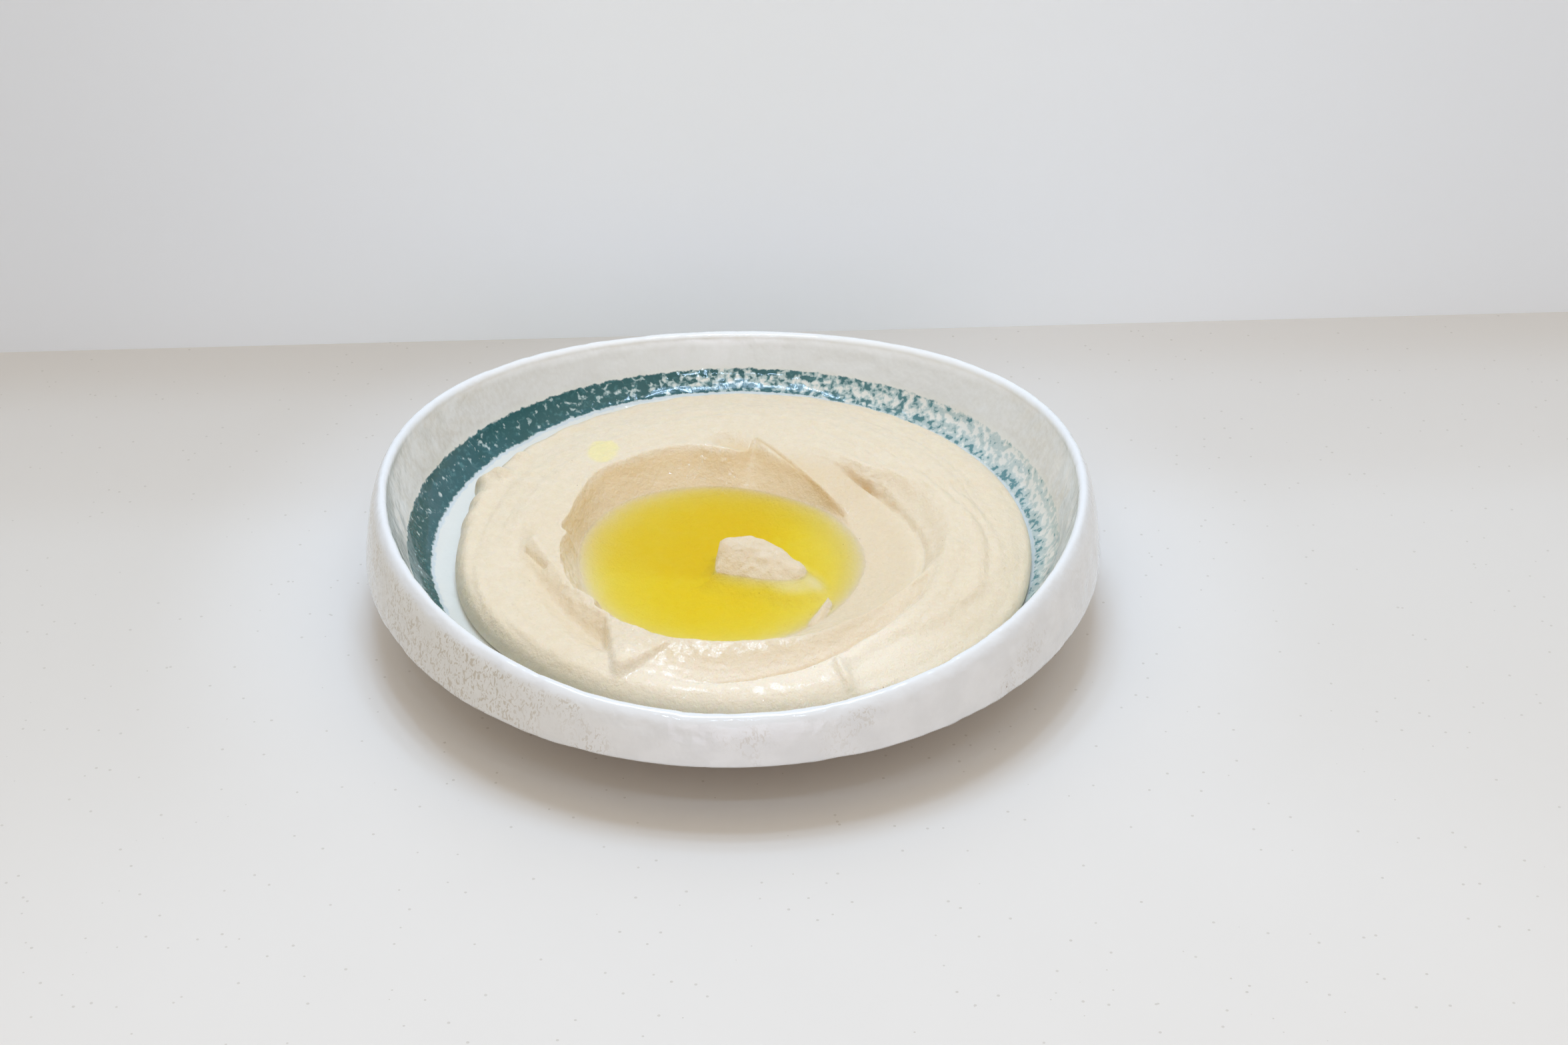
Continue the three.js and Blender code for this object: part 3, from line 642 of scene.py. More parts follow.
@dataclass(frozen=True)
class PasteFinish:
    """Smooth chickpea paste, damp in places, soaking up oil in the well and filmed where oil was spilled;
    painted light makes the near roll and the paste under the oil paler, and painted shade darkens the well's
    wall, the creases, the shelf and the lump's top.

    Sizes are in millimetres. A span holds where a step starts and ends.
    """

    cream: Colour = (0.795, 0.677, 0.495)
    pale: Colour = (0.825, 0.713, 0.54)
    # painted light: a paler, less saturated sheen on the near roll, and paler paste under the oil
    fresh: Colour = (0.93, 0.83, 0.685)
    shaded: Colour = (0.74, 0.615, 0.44)
    toasted: Colour = (0.72, 0.57, 0.37)
    speck: Colour = (0.36, 0.23, 0.12)
    # oil soaking into the paste, and painted warm shade on the well's wall
    soaked_and_shaded: Colour = (0.775, 0.605, 0.368)
    # oil drawn into the fine creases, and painted shade along them
    creased_and_shaded: Colour = (0.66, 0.45, 0.20)
    filmed: Colour = (0.85, 0.745, 0.40)
    ior: float = 1.4
    roughness: float = 0.55
    damp_smoothing: float = 0.15
    inner_share: float = 0.45
    inner_reach: tuple[float, float, float] = (1.0, 0.72, 0.42)
    inner_depth: float = 1.3
    coat: float = 0.9
    coat_ior: float = 1.47
    coat_roughness: float = 0.07
    tones: Grain = Grain(3, 5, 0.6)
    tone_span: Span = (0.3, 0.7)
    grains: Grain = Grain(0.8)
    grain_span: Span = (0.6, 0.75)
    grain_share: float = 0.3
    speck_cell: float = 8.0
    speck_size: float = 0.03
    speck_share: float = 0.6
    film_wetness: float = 0.3
    wet_patches: Grain = Grain(3.2, 4, 0.6)
    wet_span: Span = (0.42, 0.56)
    coarse: Grain = Grain(2.4, 3, 0.55)
    coarse_depth: float = 0.44
    fine: Grain = Grain(0.85, 3, 0.62)
    fine_depth: float = 0.26
    swell_depth: float = 0.14
    bead_depth: float = 0.1
    calming: float = 0.66

    def material(self) -> bpy.types.Material:
        """Build the material.

        Returns:
            The material.
        """
        bench = Bench("chickpea_paste")
        film = bench.attribute("film")
        wet = bench.line(film, self.film_wetness, bench.attribute("damp"))
        patchy = bench.times(bench.step(bench.mottle(self.wet_patches), *self.wet_span), wet)
        coarse = bench.mottle(self.coarse)
        relief = bench.bump(bench.mottle(self.fine), self.fine_depth, bench.bump(coarse, self.coarse_depth))
        calm = bench.line(bench.attribute("calm"), -self.calming, 1)
        swell = bench.bump(bench.times(coarse, calm), self.swell_depth)
        beads = bench.bump(bench.times(bench.mottle(self.grains), calm), self.bead_depth, swell)
        shader = bench.add("ShaderNodeBsdfPrincipled", {
            "Base Color": self._colour(bench, film), "IOR": self.ior, "Normal": relief,
            "Roughness": bench.line(patchy, -self.damp_smoothing, self.roughness),
            "Subsurface Weight": self.inner_share, "Subsurface Radius": self.inner_reach,
            "Subsurface Scale": self.inner_depth * MM, "Coat Weight": bench.times(patchy, self.coat),
            "Coat Roughness": self.coat_roughness, "Coat IOR": self.coat_ior, "Coat Normal": beads,
        })
        return bench.finish(shader)

    def _colour(self, bench: Bench, film: object) -> object:
        """Colour of the paste, with its grains and specks, what the oil does to it, and painted light and
        shade.

        Args:
            bench: the material's bench.
            film: share of the thin film of oil.

        Returns:
            The colour's socket.
        """
        grains = bench.times(bench.step(bench.mottle(self.grains), *self.grain_span), self.grain_share)
        specks = bench.times(bench.dots(self.speck_cell, self.speck_size), self.speck_share)
        colour = bench.blend(bench.step(bench.mottle(self.tones), *self.tone_span), self.cream, self.pale)
        for share, tint in (
            # painted light on the near roll and under the oil
            (bench.attribute("fresh"), self.fresh),
            (bench.attribute("shaded"), self.shaded),
            (grains, self.toasted),
            (specks, self.speck),
            # oil soaking in, with painted warm shade on the well's wall
            (bench.attribute("soak"), self.soaked_and_shaded),
            # oil in the creases, with painted shade along them
            (bench.attribute("crease"), self.creased_and_shaded),
            (film, self.filmed),
        ):
            colour = bench.blend(share, colour, tint)
        return colour


@dataclass(frozen=True)
class OilFinish:
    """Clear yellow oil. It passes less blue the deeper it is, and mirrors a little. Sizes in millimetres."""

    passed: Colour = (1.0, 0.984, 0.70)
    ior: float = 1.27
    roughness: float = 0.03
    cloud: Grain = Grain(9, 2, 0.4, 0.8)
    cloud_spread: float = 0.5
    ripple: Grain = Grain(14, 1)
    ripple_depth: float = 0.05

    def material(self) -> bpy.types.Material:
        """Build the material.

        Returns:
            The material.
        """
        bench = Bench("clear_oil")
        uneven = bench.line(bench.mottle(self.cloud), self.cloud_spread, 1 - self.cloud_spread / 2)
        depth = bench.times(bench.attribute("depth"), uneven)
        colour = bench.add("ShaderNodeCombineColor")
        for channel, share in enumerate(self.passed):
            bench.tree.links.new(bench.math("POWER", share, depth), colour.inputs[channel])
        clear = bench.add("ShaderNodeBsdfTransparent", {"Color": colour.outputs[0]})
        ripple = bench.bump(bench.mottle(self.ripple), self.ripple_depth)
        mirror = bench.add("ShaderNodeBsdfGlossy", {"Roughness": self.roughness, "Normal": ripple})
        share = bench.add("ShaderNodeFresnel", {"IOR": self.ior, "Normal": ripple}).outputs[0]
        return bench.finish(bench.cover(share, clear, mirror))


@dataclass(frozen=True)
class CounterFinish:
    """Pale composite counter with faint specks, and painted shade that makes it dimmer to the far left and to
    the right of the dish.
    """

    base: Colour = (0.755, 0.73, 0.70)
    pale: Colour = (0.7701, 0.7446, 0.714)
    # painted shade colour, dimmer to the far left and to the right
    painted_shade: Colour = (0.675, 0.635, 0.585)
    speck: Colour = (0.42, 0.38, 0.32)
    roughness: float = 0.32
    clouds: Grain = Grain(40)
    left_bearing: float = 155.0
    left_span: Span = (0.2, 1.0)
    right_bearing: float = 10.0
    right_span: Span = (0.6, 1.0)
    right_share: float = 0.6
    away_span: Span = (0.14, 0.21)
    speck_cell: float = 6.0
    speck_size: float = 0.08
    speck_share: float = 0.4

    def material(self) -> bpy.types.Material:
        """Build the material.

        Returns:
            The material.
        """
        bench = Bench("pale_counter")
        colour = bench.blend(bench.mottle(self.clouds), self.base, self.pale)
        left = bench.step(bench.facing(self.left_bearing), *self.left_span)
        right = bench.times(bench.step(bench.facing(self.right_bearing), *self.right_span), self.right_share)
        away = bench.add("ShaderNodeVectorMath", {0: bench.place}, operation="LENGTH").outputs["Value"]
        # painted shade: dimmer to the far left and to the right, away from the dish
        painted_shade_share = bench.times(bench.more(left, right), bench.step(away, *self.away_span))
        colour = bench.blend(painted_shade_share, colour, self.painted_shade)
        specks = bench.times(bench.dots(self.speck_cell, self.speck_size), self.speck_share)
        inputs = {"Base Color": bench.blend(specks, colour, self.speck), "Roughness": self.roughness}
        return bench.finish(bench.add("ShaderNodeBsdfPrincipled", inputs))


@dataclass(frozen=True)
class WallFinish:
    """Plain painted wall with painted light, as it glows a little, and painted shade that makes it dimmer at
    its ends. From behind it is clear.

    Spans across it are shares of its width.
    """

    base: Colour = (0.86, 0.88, 0.90)
    pale: Colour = (0.8686, 0.8888, 0.909)
    # painted shade colour at the wall's ends
    painted_shade: Colour = (0.74, 0.745, 0.75)
    glow: Colour = (0.62, 0.76, 0.92)
    glow_strength: float = 0.18
    glow_loss: float = 0.2
    roughness: float = 0.6
    clouds: Grain = Grain(60)
    left_span: Span = (-0.02, -0.11)
    right_span: Span = (0.02, 0.11)
    right_share: float = 0.6

    def material(self) -> bpy.types.Material:
        """Build the material.

        Returns:
            The material.
        """
        bench = Bench("painted_wall")
        across = bench.add("ShaderNodeSeparateXYZ", {0: bench.place}).outputs["X"]
        right = bench.times(bench.step(across, *self.right_span), self.right_share)
        # painted shade: dimmer at the wall's ends
        painted_shade_share = bench.more(bench.step(across, *self.left_span), right)
        colour = bench.blend(bench.mottle(self.clouds), self.base, self.pale)
        # painted light: the wall glows, less at its ends
        glow = bench.line(painted_shade_share, -self.glow_loss * self.glow_strength, self.glow_strength)
        paint = bench.add("ShaderNodeBsdfPrincipled", {
            "Base Color": bench.blend(painted_shade_share, colour, self.painted_shade), "Roughness": self.roughness,
            "Emission Color": self.glow, "Emission Strength": glow,
        })
        behind = bench.add("ShaderNodeNewGeometry").outputs["Backfacing"]
        return bench.finish(bench.cover(behind, paint, bench.add("ShaderNodeBsdfTransparent")))


# ---------------------------------------------------------------- bowl


@dataclass(frozen=True)
class BowlRuns:
    """Distances along the bowl's section, from the middle of its floor outwards and down, in millimetres."""

    stripe: float
    stripe_top: float
    lip: float
    foot: float
    foot_end: float


@dataclass
class Bowl:
    """Shallow glazed bowl. Its lip rises at the two sides. Sizes in millimetres."""

    foot_inner_r: float = 50.0
    foot_outer_r: float = 60.0
    foot_draft: float = 1.5
    recess_z: float = 9.5
    under_z: float = 11.0
    under_bend: Span = (98.0, 15.0)
    band_r: float = 122.7
    band_foot_z: float = 21.4
    band_corner: float = 4.0
    lip_r: float = 116.0
    lip_z: float = 42.7
    lip_half: float = 1.9
    shoulder_turn: float = 48.0
    shoulder: float = 4.6
    rim_wave: float = 5.8
    stripe_top: Span = (108.6, 29.4)
    floor_r: float = 101.2
    floor_edge_z: float = 21.0
    floor_mid_z: float = 16.0
    floor_bend: float = 6.0
    sides: int = 320
    spacing: float = 1.1
    floor_steps: int = 24
    lip_steps: int = 9
    corner_steps: int = 7
    under_steps: int = 26
    bare_margin: Span = (1.5, 0.5)
    dimples: Uneven = Uneven(8, 3)
    dimple_depth: float = 0.42
    hidden_share: float = 0.3
    shown_margin: float = 8.0
    waves: Uneven = Uneven(13, 2, 40.0)
    wave_stretch: tuple[float, float, float] = (1, 1, 0.2)
    wave_depth: float = 0.7
    wave_half: float = 2.5
    wave_lift: float = 0.5
    inset: float = 0.02

    def floor_height(self, r: Array) -> Array:
        """Height of the floor at a distance from the axis."""
        return self.floor_mid_z + (self.floor_edge_z - self.floor_mid_z) * (r / self.floor_r) ** 2

    def section(self) -> Array:
        """Outline of the bowl's section.

        Returns:
            Rows of radius and height, from the axis above, over the lip, to the axis below.
        """
        bend_r = self.floor_r - self.floor_bend
        floor = [(r, self.floor_height(r)) for r in np.linspace(0, bend_r, self.floor_steps)]
        top_r, top_z = self.stripe_top
        turn = self._curve(floor[-1], (self.floor_r + self.floor_bend / 2, self.floor_edge_z), (top_r, top_z))
        inner = (self.lip_r - self.lip_half, self.lip_z)
        wall = self._curve((top_r, top_z), (inner[0], top_z + 2 * self.floor_bend), inner)
        fall = math.radians(self.shoulder_turn)
        arc = [(self.lip_r - self.lip_half * math.cos(a), self.lip_z + self.lip_half * math.sin(a))
               for a in np.linspace(0, math.pi - fall, self.lip_steps)]
        corner_z = self.band_foot_z + self.band_corner
        shoulder = (arc[-1][0] + self.shoulder * math.sin(fall), arc[-1][1] - self.shoulder * math.cos(fall))
        band = self._curve(arc[-1], shoulder, (self.band_r, corner_z))
        corner = self._curve(band[-1], (self.band_r, self.band_foot_z + self.band_corner / 3),
                             (self.band_r - self.band_corner, self.band_foot_z), self.corner_steps)
        under = self._curve(corner[-1], self.under_bend, (self.foot_outer_r, self.under_z), self.under_steps)
        foot = [(self.foot_outer_r - self.foot_draft, 0), (self.foot_inner_r, 0),
                (self.foot_inner_r - self.foot_draft, self.recess_z), (0, self.recess_z)]
        return np.array(floor + turn[1:] + wall[1:] + arc[1:] + band[1:] + corner[1:] + under[1:] + foot)

    def _curve(self, start: Span, pull: Span, end: Span, steps: int = 0) -> list[Span]:
        """Curve from one point to another, drawn towards a third.

        Args:
            start: first point.
            pull: point that it is drawn towards.
            end: last point.
            steps: number of steps, or 0 for steps of the usual size.

        Returns:
            Its points.
        """
        a, b, c = (np.array(p, float) for p in (start, pull, end))
        steps = steps or max(3, round(float(np.linalg.norm(c - a)) / self.spacing))
        shares = np.linspace(0, 1, steps + 1)
        return [tuple((1 - t) ** 2 * a + 2 * t * (1 - t) * b + t**2 * c) for t in shares]

    def runs(self) -> BowlRuns:
        """Where the parts of the section lie along it.

        Returns:
            Their distances from the middle of the floor.
        """
        section, run = self._section_run()
        lip = int(np.argmax(section[:, 1]))
        inner_r = section[:lip, 0]
        foot = len(section) - 4
        return BowlRuns(
            stripe=float(np.interp(self.floor_r, inner_r, run[:lip])),
            stripe_top=float(np.interp(self.stripe_top[0], inner_r, run[:lip])),
            lip=float(run[lip]),
            foot=float(run[foot]) - self.bare_margin[0],
            foot_end=float(run[foot + 1]) + self.bare_margin[1],
        )

    def _section_run(self) -> tuple[Array, Array]:
        """The section, and how far along it each of its points lies."""
        section = self.section()
        return section, np.concatenate([[0], np.cumsum(np.linalg.norm(np.diff(section, axis=0), axis=1))])

    def build(self) -> bpy.types.Object:
        """Turn the section into the bowl, then warp and dimple it.

        Returns:
            The bowl.
        """
        section = self.section()
        bpy.ops.mesh.primitive_plane_add(size=MM, location=(0, 0, section[0, 1] * MM))
        piece = fresh("glazed_bowl")
        bpy.ops.object.transform_apply(location=True)
        in_edit_mode(lambda: self._turn(section * MM))
        self._warp(piece)
        return piece

    def _turn(self, section: Array) -> None:
        """Draw the section by extruding one point, and spin it round the axis.

        Args:
            section: rows of radius and height in metres.
        """
        bpy.ops.mesh.select_all(action="SELECT")
        bpy.ops.mesh.merge(type="CENTER")
        for step_r, step_z in np.diff(section, axis=0):
            bpy.ops.mesh.extrude_region_move(TRANSFORM_OT_translate={"value": (step_r, 0, step_z)})
        bpy.ops.mesh.select_all(action="SELECT")
        bpy.ops.mesh.spin(steps=self.sides, angle=2 * math.pi, center=(0, 0, 0), axis=(0, 0, 1))
        bpy.ops.mesh.select_all(action="SELECT")
        bpy.ops.mesh.remove_doubles(threshold=0.01 * MM)
        bpy.ops.mesh.normals_make_consistent(inside=False)

    def _warp(self, piece: bpy.types.Object) -> None:
        """Raise the lip at the two sides, dimple the glaze, and store the run along the section.

        Args:
            piece: the turned bowl.
        """
        points = read(piece, "co") / MM
        normals = read(piece, "normal")
        x, y, z = points.T
        r = np.hypot(x, y)
        carry(piece, "run", self._run_of(r, z))
        share = np.maximum(z - self.floor_edge_z, 0) / (self.lip_z - self.floor_edge_z)
        raised = np.where(r > self.floor_r, share * self.rim_wave * np.cos(2 * np.arctan2(y, x)), 0)
        shown = smooth(r, self.foot_outer_r + self.shown_margin, self.band_r - self.shown_margin)
        dimple = self.dimple_depth * self.dimples.at(points) * mix(shown, self.hidden_share, 1)
        low_edge = bell(z, self.band_foot_z, self.wave_half) * shown
        wave = self.wave_depth * self.waves.at(points * self.wave_stretch) * low_edge
        inward = np.minimum(dimple + wave, 0) - self.inset
        points[:, 2] += raised + self.wave_lift * wave
        points += normals * np.where(z < 1, 0, inward)[:, None]
        set_points(piece, points * MM)

    def _run_of(self, r: Array, z: Array) -> Array:
        """Run along the section of points that lie on it.

        Args:
            r: their distances from the axis.
            z: their heights.

        Returns:
            Their runs.
        """
        section, run = self._section_run()
        gap = (r[:, None] - section[:, 0]) ** 2 + (z[:, None] - section[:, 1]) ** 2
        return run[np.argmin(gap, axis=1)]


# ---------------------------------------------------------------- dip


def within(angle: Array, start: float, end: float, fade: float) -> tuple[Array, Array]:
    """Turn angles to lie round the middle of a span, and fade in and out at its ends.

    Args:
        angle: the angles in degrees.
        start: where the span starts.
        end: where it ends.
        fade: how many degrees each end takes to fade.

    Returns:
        The turned angles, and a share for each of them.
    """
    middle = (start + end) / 2
    turned = middle + np.mod(angle - middle + 180, 360) - 180
    half = fade / 2
    return turned, smooth(turned, start - half, start + half) * (1 - smooth(turned, end - half, end + half))


@dataclass(frozen=True)
class Groove:
    """A curved groove round the well: its span in degrees, its depth, its sides' widths and its radius."""

    start: float
    end: float
    fade: float
    depth: float
    inner: float
    outer: float
    radius: Dial
    point: float = 2.0
    share: Dial = arc((-180, 1), (180, 1))

    def at(self, radius: Array, angle: Array) -> Array:
        """Depth of the groove at places given by radius and angle from the well's middle.

        Args:
            radius: their radii.
            angle: their angles.

        Returns:
            The depths.
        """
        turned, fade = within(angle, self.start, self.end, self.fade)
        aside = radius - self.radius.at(turned)
        width = np.where(aside < 0, self.inner, self.outer)
        return self.depth * self.share.at(turned) * fade * np.exp(-(np.abs(aside / width) ** self.point))


@dataclass(frozen=True)
class Terrace:
    """A step down in the top, outwards across a curved line round the well."""

    start: float
    end: float
    fade: float
    drop: float
    width: float
    radius: Dial

    def at(self, radius: Array, angle: Array) -> Array:
        """Drop at places given by radius and angle from the well's middle.

        Args:
            radius: their radii.
            angle: their angles.

        Returns:
            The drops.
        """
        turned, fade = within(angle, self.start, self.end, self.fade)
        line = self.radius.at(turned)
        return self.drop * fade * smooth(radius, line - self.width / 2, line + self.width / 2)


@dataclass(frozen=True)
class Stroke:
    """A straight ridge, or with a negative rise a crease, from one point to another."""

    start: Span
    end: Span
    rise: float
    left: float
    right: float

    def at(self, x: Array, y: Array) -> Array:
        """Rise of the stroke at each place.

        Args:
            x: places along X.
            y: places along Y.

        Returns:
            The rises.
        """
        _, aside, past = from_line(self.start, self.end, x, y)
        width = np.where(aside > 0, self.left, self.right)
        return self.rise * bell(aside, 0, width) * bell(past, 0, width)


@dataclass(frozen=True)
class Well:
    """The basin for the oil, its wall and the shelf beside it. Angles turn round its middle."""

    x: float = -4.0
    y: float = -17.0
    oil_z: float = 25.0
    bottom_z: float = 19.3
    bottom_span: Span = (8.0, 30.0)
    tear_reach: float = 3.0
    basin_power: Dial = Dial(((-180, 3), (-90, 3.8), (-20, 3.2), (30, 3.4), (80, 6), (130, 3.6)))
    raised: Dial = Dial(((-180, 0), (-60, 0), (-20, 0.8), (25, 0.6), (55, -0.9), (80, -0.6), (120, 0)))
    pool: Dial = Dial(((-174, 47), (-120, 47), (-60, 45.5), (-30, 44.6), (5, 46.8), (38, 48.4), (65, 47.5),
                       (94, 49.6), (130, 52.2), (155, 50.4)))
    wall_slope: Dial = Dial(((-176, 1.75), (-168, 1.4), (-157, 1.33), (-148, 1.45), (-134, 1.38),
                             (-118, 1.2), (-85, 1), (-55, 0.66), (-40, 0.72), (-10, 0.75), (20, 0.65),
                             (31, 0.75), (36.5, 1.05), (40, 2.0), (44, 3.0), (50, 2.1), (54, 1.75),
                             (60, 1.41), (66, 1.18), (72, 1.0), (76, 0.78), (79.5, 0.62), (82, 0.82),
                             (85, 1.08), (90, 1.22), (97, 1.02), (108, 0.94), (122, 1.12), (134, 1.1),
                             (148, 1.7), (162, 2.0)))
    tear: Dial = Dial(((-172, -0.4), (-163, 0.3), (-157, 0), (-148, 0.4), (-142.5, 1.8), (-139, -0.2),
                       (-131, 0.5), (-127, 0), (-118, 0.4), (-110, 0), (150, 0), (158, 0.5), (166, -0.5),
                       (169.5, -0.2), (172, 1.5), (175, 0.2), (180, -0.7)))
    shelf_slope: Dial = Dial(((-60, 0.4), (-30, 0.32), (-5, 0.18), (25, 0.15), (42, 0.12), (52, 0.2),
                              (60, 0.25), (72, 0.15), (80, 0.06), (150, 0.3)))
    shelf_climb: Dial = Dial(((-180, 40), (-76, 12), (-60, 4), (-48, 0.8), (-38, 0), (24, 0), (31, 0.9),
                              (36.5, 2.6), (44, 5.2), (52, 6.2), (60, 6.6), (72, 8.4), (80, 9.8), (90, 14),
                              (110, 30)))
    shelf_wall: Dial = Dial(((-60, 56.5), (-45, 58), (-28, 60.6), (-17, 64), (-9, 66.2), (4, 67.6),
                             (16, 66.8), (25, 66.3), (35, 65), (41, 63.6), (50, 62.6), (60, 63), (80, 68),
                             (150, 70)))
    shelf_wall_slope: Dial = Dial(((-60, 1.3), (-20, 1.5), (-8, 0.9), (4, 0.6), (16, 0.5), (25, 0.5),
                                   (33, 0.6), (42, 0.7), (49, 0.5), (56, 0.25), (80, 0.1), (150, 1.5)))
    feet: tuple[Groove, ...] = (
        Groove(-14, 47, 12, 1.0, 1.0, 0.9,
               arc((-9, 66), (4, 67.4), (16, 66.6), (25, 66.1), (35, 64.8), (41, 63.4), (50, 62.4))),
        Groove(34, 47, 6, 1.3, 1.2, 0.9, arc((33, 65.2), (41, 63.4), (50, 62.4))),
    )
    shelf_crease: Dial = Dial(((-60, 1.7), (-35, 2), (-10, 1.7), (8, 1.2), (30, 0.9), (43, 0.8), (52, 2.2),
                               (62, 3), (78, 2), (110, 0.7)))
    crest_crease: Dial = Dial(((-176, 0.45), (-150, 0.4), (-120, 0.5), (-95, 0.9), (-50, 1.2), (-20, 1),
                               (20, 0.6), (40, 0.4), (62, 0.4), (79, 0.35), (90, 0.6), (130, 0.7),
                               (160, 0.45)))

    def basin(self, radius: Array, angle: Array) -> Array:
        """Height of the basin under the oil, which ends level with the oil at the pool's edge.

        Args:
            radius: distances from its middle.
            angle: angles round it.

        Returns:
            The heights.
        """
        inside = np.minimum(radius / self.pool.at(angle), 1) ** self.basin_power.at(angle)
        bottom = self.bottom_z + self.raised.at(angle) * smooth(radius, *self.bottom_span)
        return bottom + (self.oil_z - bottom) * inside

    def wall(self, radius: Array, angle: Array) -> Array:
        """Height of the basin and of the wall that rises from it.

        Args:
            radius: distances from the middle.
            angle: angles round it.

        Returns:
            The heights, which go on rising outside the well.
        """
        outside = np.maximum(radius - self.pool.at(angle), 0)
        torn = np.maximum(outside + self.tear.at(angle) * smooth(outside, 0, self.tear_reach), 0)
        return self.basin(radius, angle) + self.wall_slope.at(angle) * torn

    def shelf(self, radius: Array, angle: Array) -> Array:
        """Height of the shelf beside the basin and of its own outer wall.

        Args:
            radius: distances from the middle.
            angle: angles round it.

        Returns:
            The heights, which go on rising outside the shelf.
        """
        outside = np.maximum(radius - self.pool.at(angle), 0)
        past = np.maximum(radius - self.shelf_wall.at(angle), 0)
        height = self.basin(radius, angle) + self.shelf_climb.at(angle) + self.shelf_slope.at(angle) * outside
        height += self.shelf_wall_slope.at(angle) * past
        return height - sum(foot.at(radius, angle) for foot in self.feet)

    def height(self, radius: Array, angle: Array) -> Array:
        """Lower of the wall and the shelf."""
        return np.minimum(self.wall(radius, angle), self.shelf(radius, angle))


@dataclass(frozen=True)
class Blob:
    """A rounded heap: flat-topped with a high power, pointed with a low one."""

    x: float
    y: float
    half_x: float
    half_y: float
    turn: float
    rise: float
    sink: float
    power: float

    def at(self, x: Array, y: Array) -> Array:
        """Height above the oil's level at each place.

        Args:
            x: places along X.
            y: places along Y.

        Returns:
            The heights, which drop to minus its sink at its outline and on from there.
        """
        c, s = math.cos(math.radians(self.turn)), math.sin(math.radians(self.turn))
        u = ((x - self.x) * c + (y - self.y) * s) / self.half_x
        v = ((y - self.y) * c - (x - self.x) * s) / self.half_y
        return self.rise - (self.rise + self.sink) * np.hypot(u, v) ** self.power


@dataclass(frozen=True)
class Lump:
    """The lump that stands out of the oil, a chunk along a line, and the sunken heaps round it."""

    x: float = 8.6
    y: float = -16.4
    start: Span = (-4.8, -13.2)
    end: Span = (27.8, -19.0)
    crest: Dial = Dial(((0, 6.4), (1.8, 7.6), (5, 7.9), (9.5, 7.8), (13, 7.3), (16, 6.9), (20, 5.8),
                        (24, 4.1), (28, 1.6), (31, -2.4)), False)
    shift: Dial = Dial(((0, 1.4), (2, 2.2), (9.5, 3.6), (14.3, 3.2), (20, 1.5), (25, -0.8),
                        (31, -2.6)), False)
    front: Dial = Dial(((0, 8.6), (2, 9.6), (6, 11.2), (14, 12.2), (20.7, 10), (26, 6.4), (31, 4.4)), False)
    back: float = 3.6
    power: float = 2.1
    sink: float = 0.6
    least_fall: float = 3.0
    end_slope: float = 6.0
    sunken: tuple[Blob, ...] = (
        Blob(9.0, -19.5, 19.0, 12.0, -6, -0.5, 5.4, 2.4),
        Blob(18.0, -26.0, 15.5, 9.0, -28, -0.95, 5.4, 2.6),
        Blob(26.0, -26.0, 13.0, 6.4, -62, -0.65, 5.4, 2.2),
    )
    crease: float = 1.2

    def dry(self, x: Array, y: Array) -> Array:
        """Height above the oil's level of the chunk that stands out of it.

        Args:
            x: places along X.
            y: places along Y.

        Returns:
            The heights.
        """
        along, aside, past = from_line(self.start, self.end, x, y)
        aside = aside - self.shift.at(along)
        out = np.abs(aside) / np.where(aside < 0, self.front.at(along), self.back)
        crest = self.crest.at(along)
        fall = np.maximum(crest + self.sink, self.least_fall)
        return crest - fall * out**self.power - self.end_slope * past

    def height(self, x: Array, y: Array) -> Array:
        """Height above the oil's level of the chunk and the sunken heaps.

        Args:
            x: places along X.
            y: places along Y.

        Returns:
            The heights.
        """
        height = self.dry(x, y)
        for heap in self.sunken:
            height = higher_of(height, heap.at(x, y), self.crease)
        return height


@dataclass(frozen=True)
class Spike:
    """The thin point that the spoon drew out of the rim, leaning over the oil."""

    start: Span = (26.0, -50.4)
    end: Span = (30.8, -38.4)
    start_z: float = 26.0
    end_z: float = 27.4
    start_half: float = 2.8
    end_half: float = 0.9
    fall: float = 1.8

    def height(self, x: Array, y: Array) -> Array:
        """Height of the spike at each place.

        Args:
            x: places along X.
            y: places along Y.

        Returns:
            The heights, which drop away beside it.
        """
        along, aside, past = from_line(self.start, self.end, x, y)
        share = np.clip(along / math.dist(self.start, self.end), 0, 1)
        half = mix(share, self.start_half, self.end_half)
        return mix(share, self.start_z, self.end_z) - self.fall * (np.hypot(aside, past) / half) ** 2


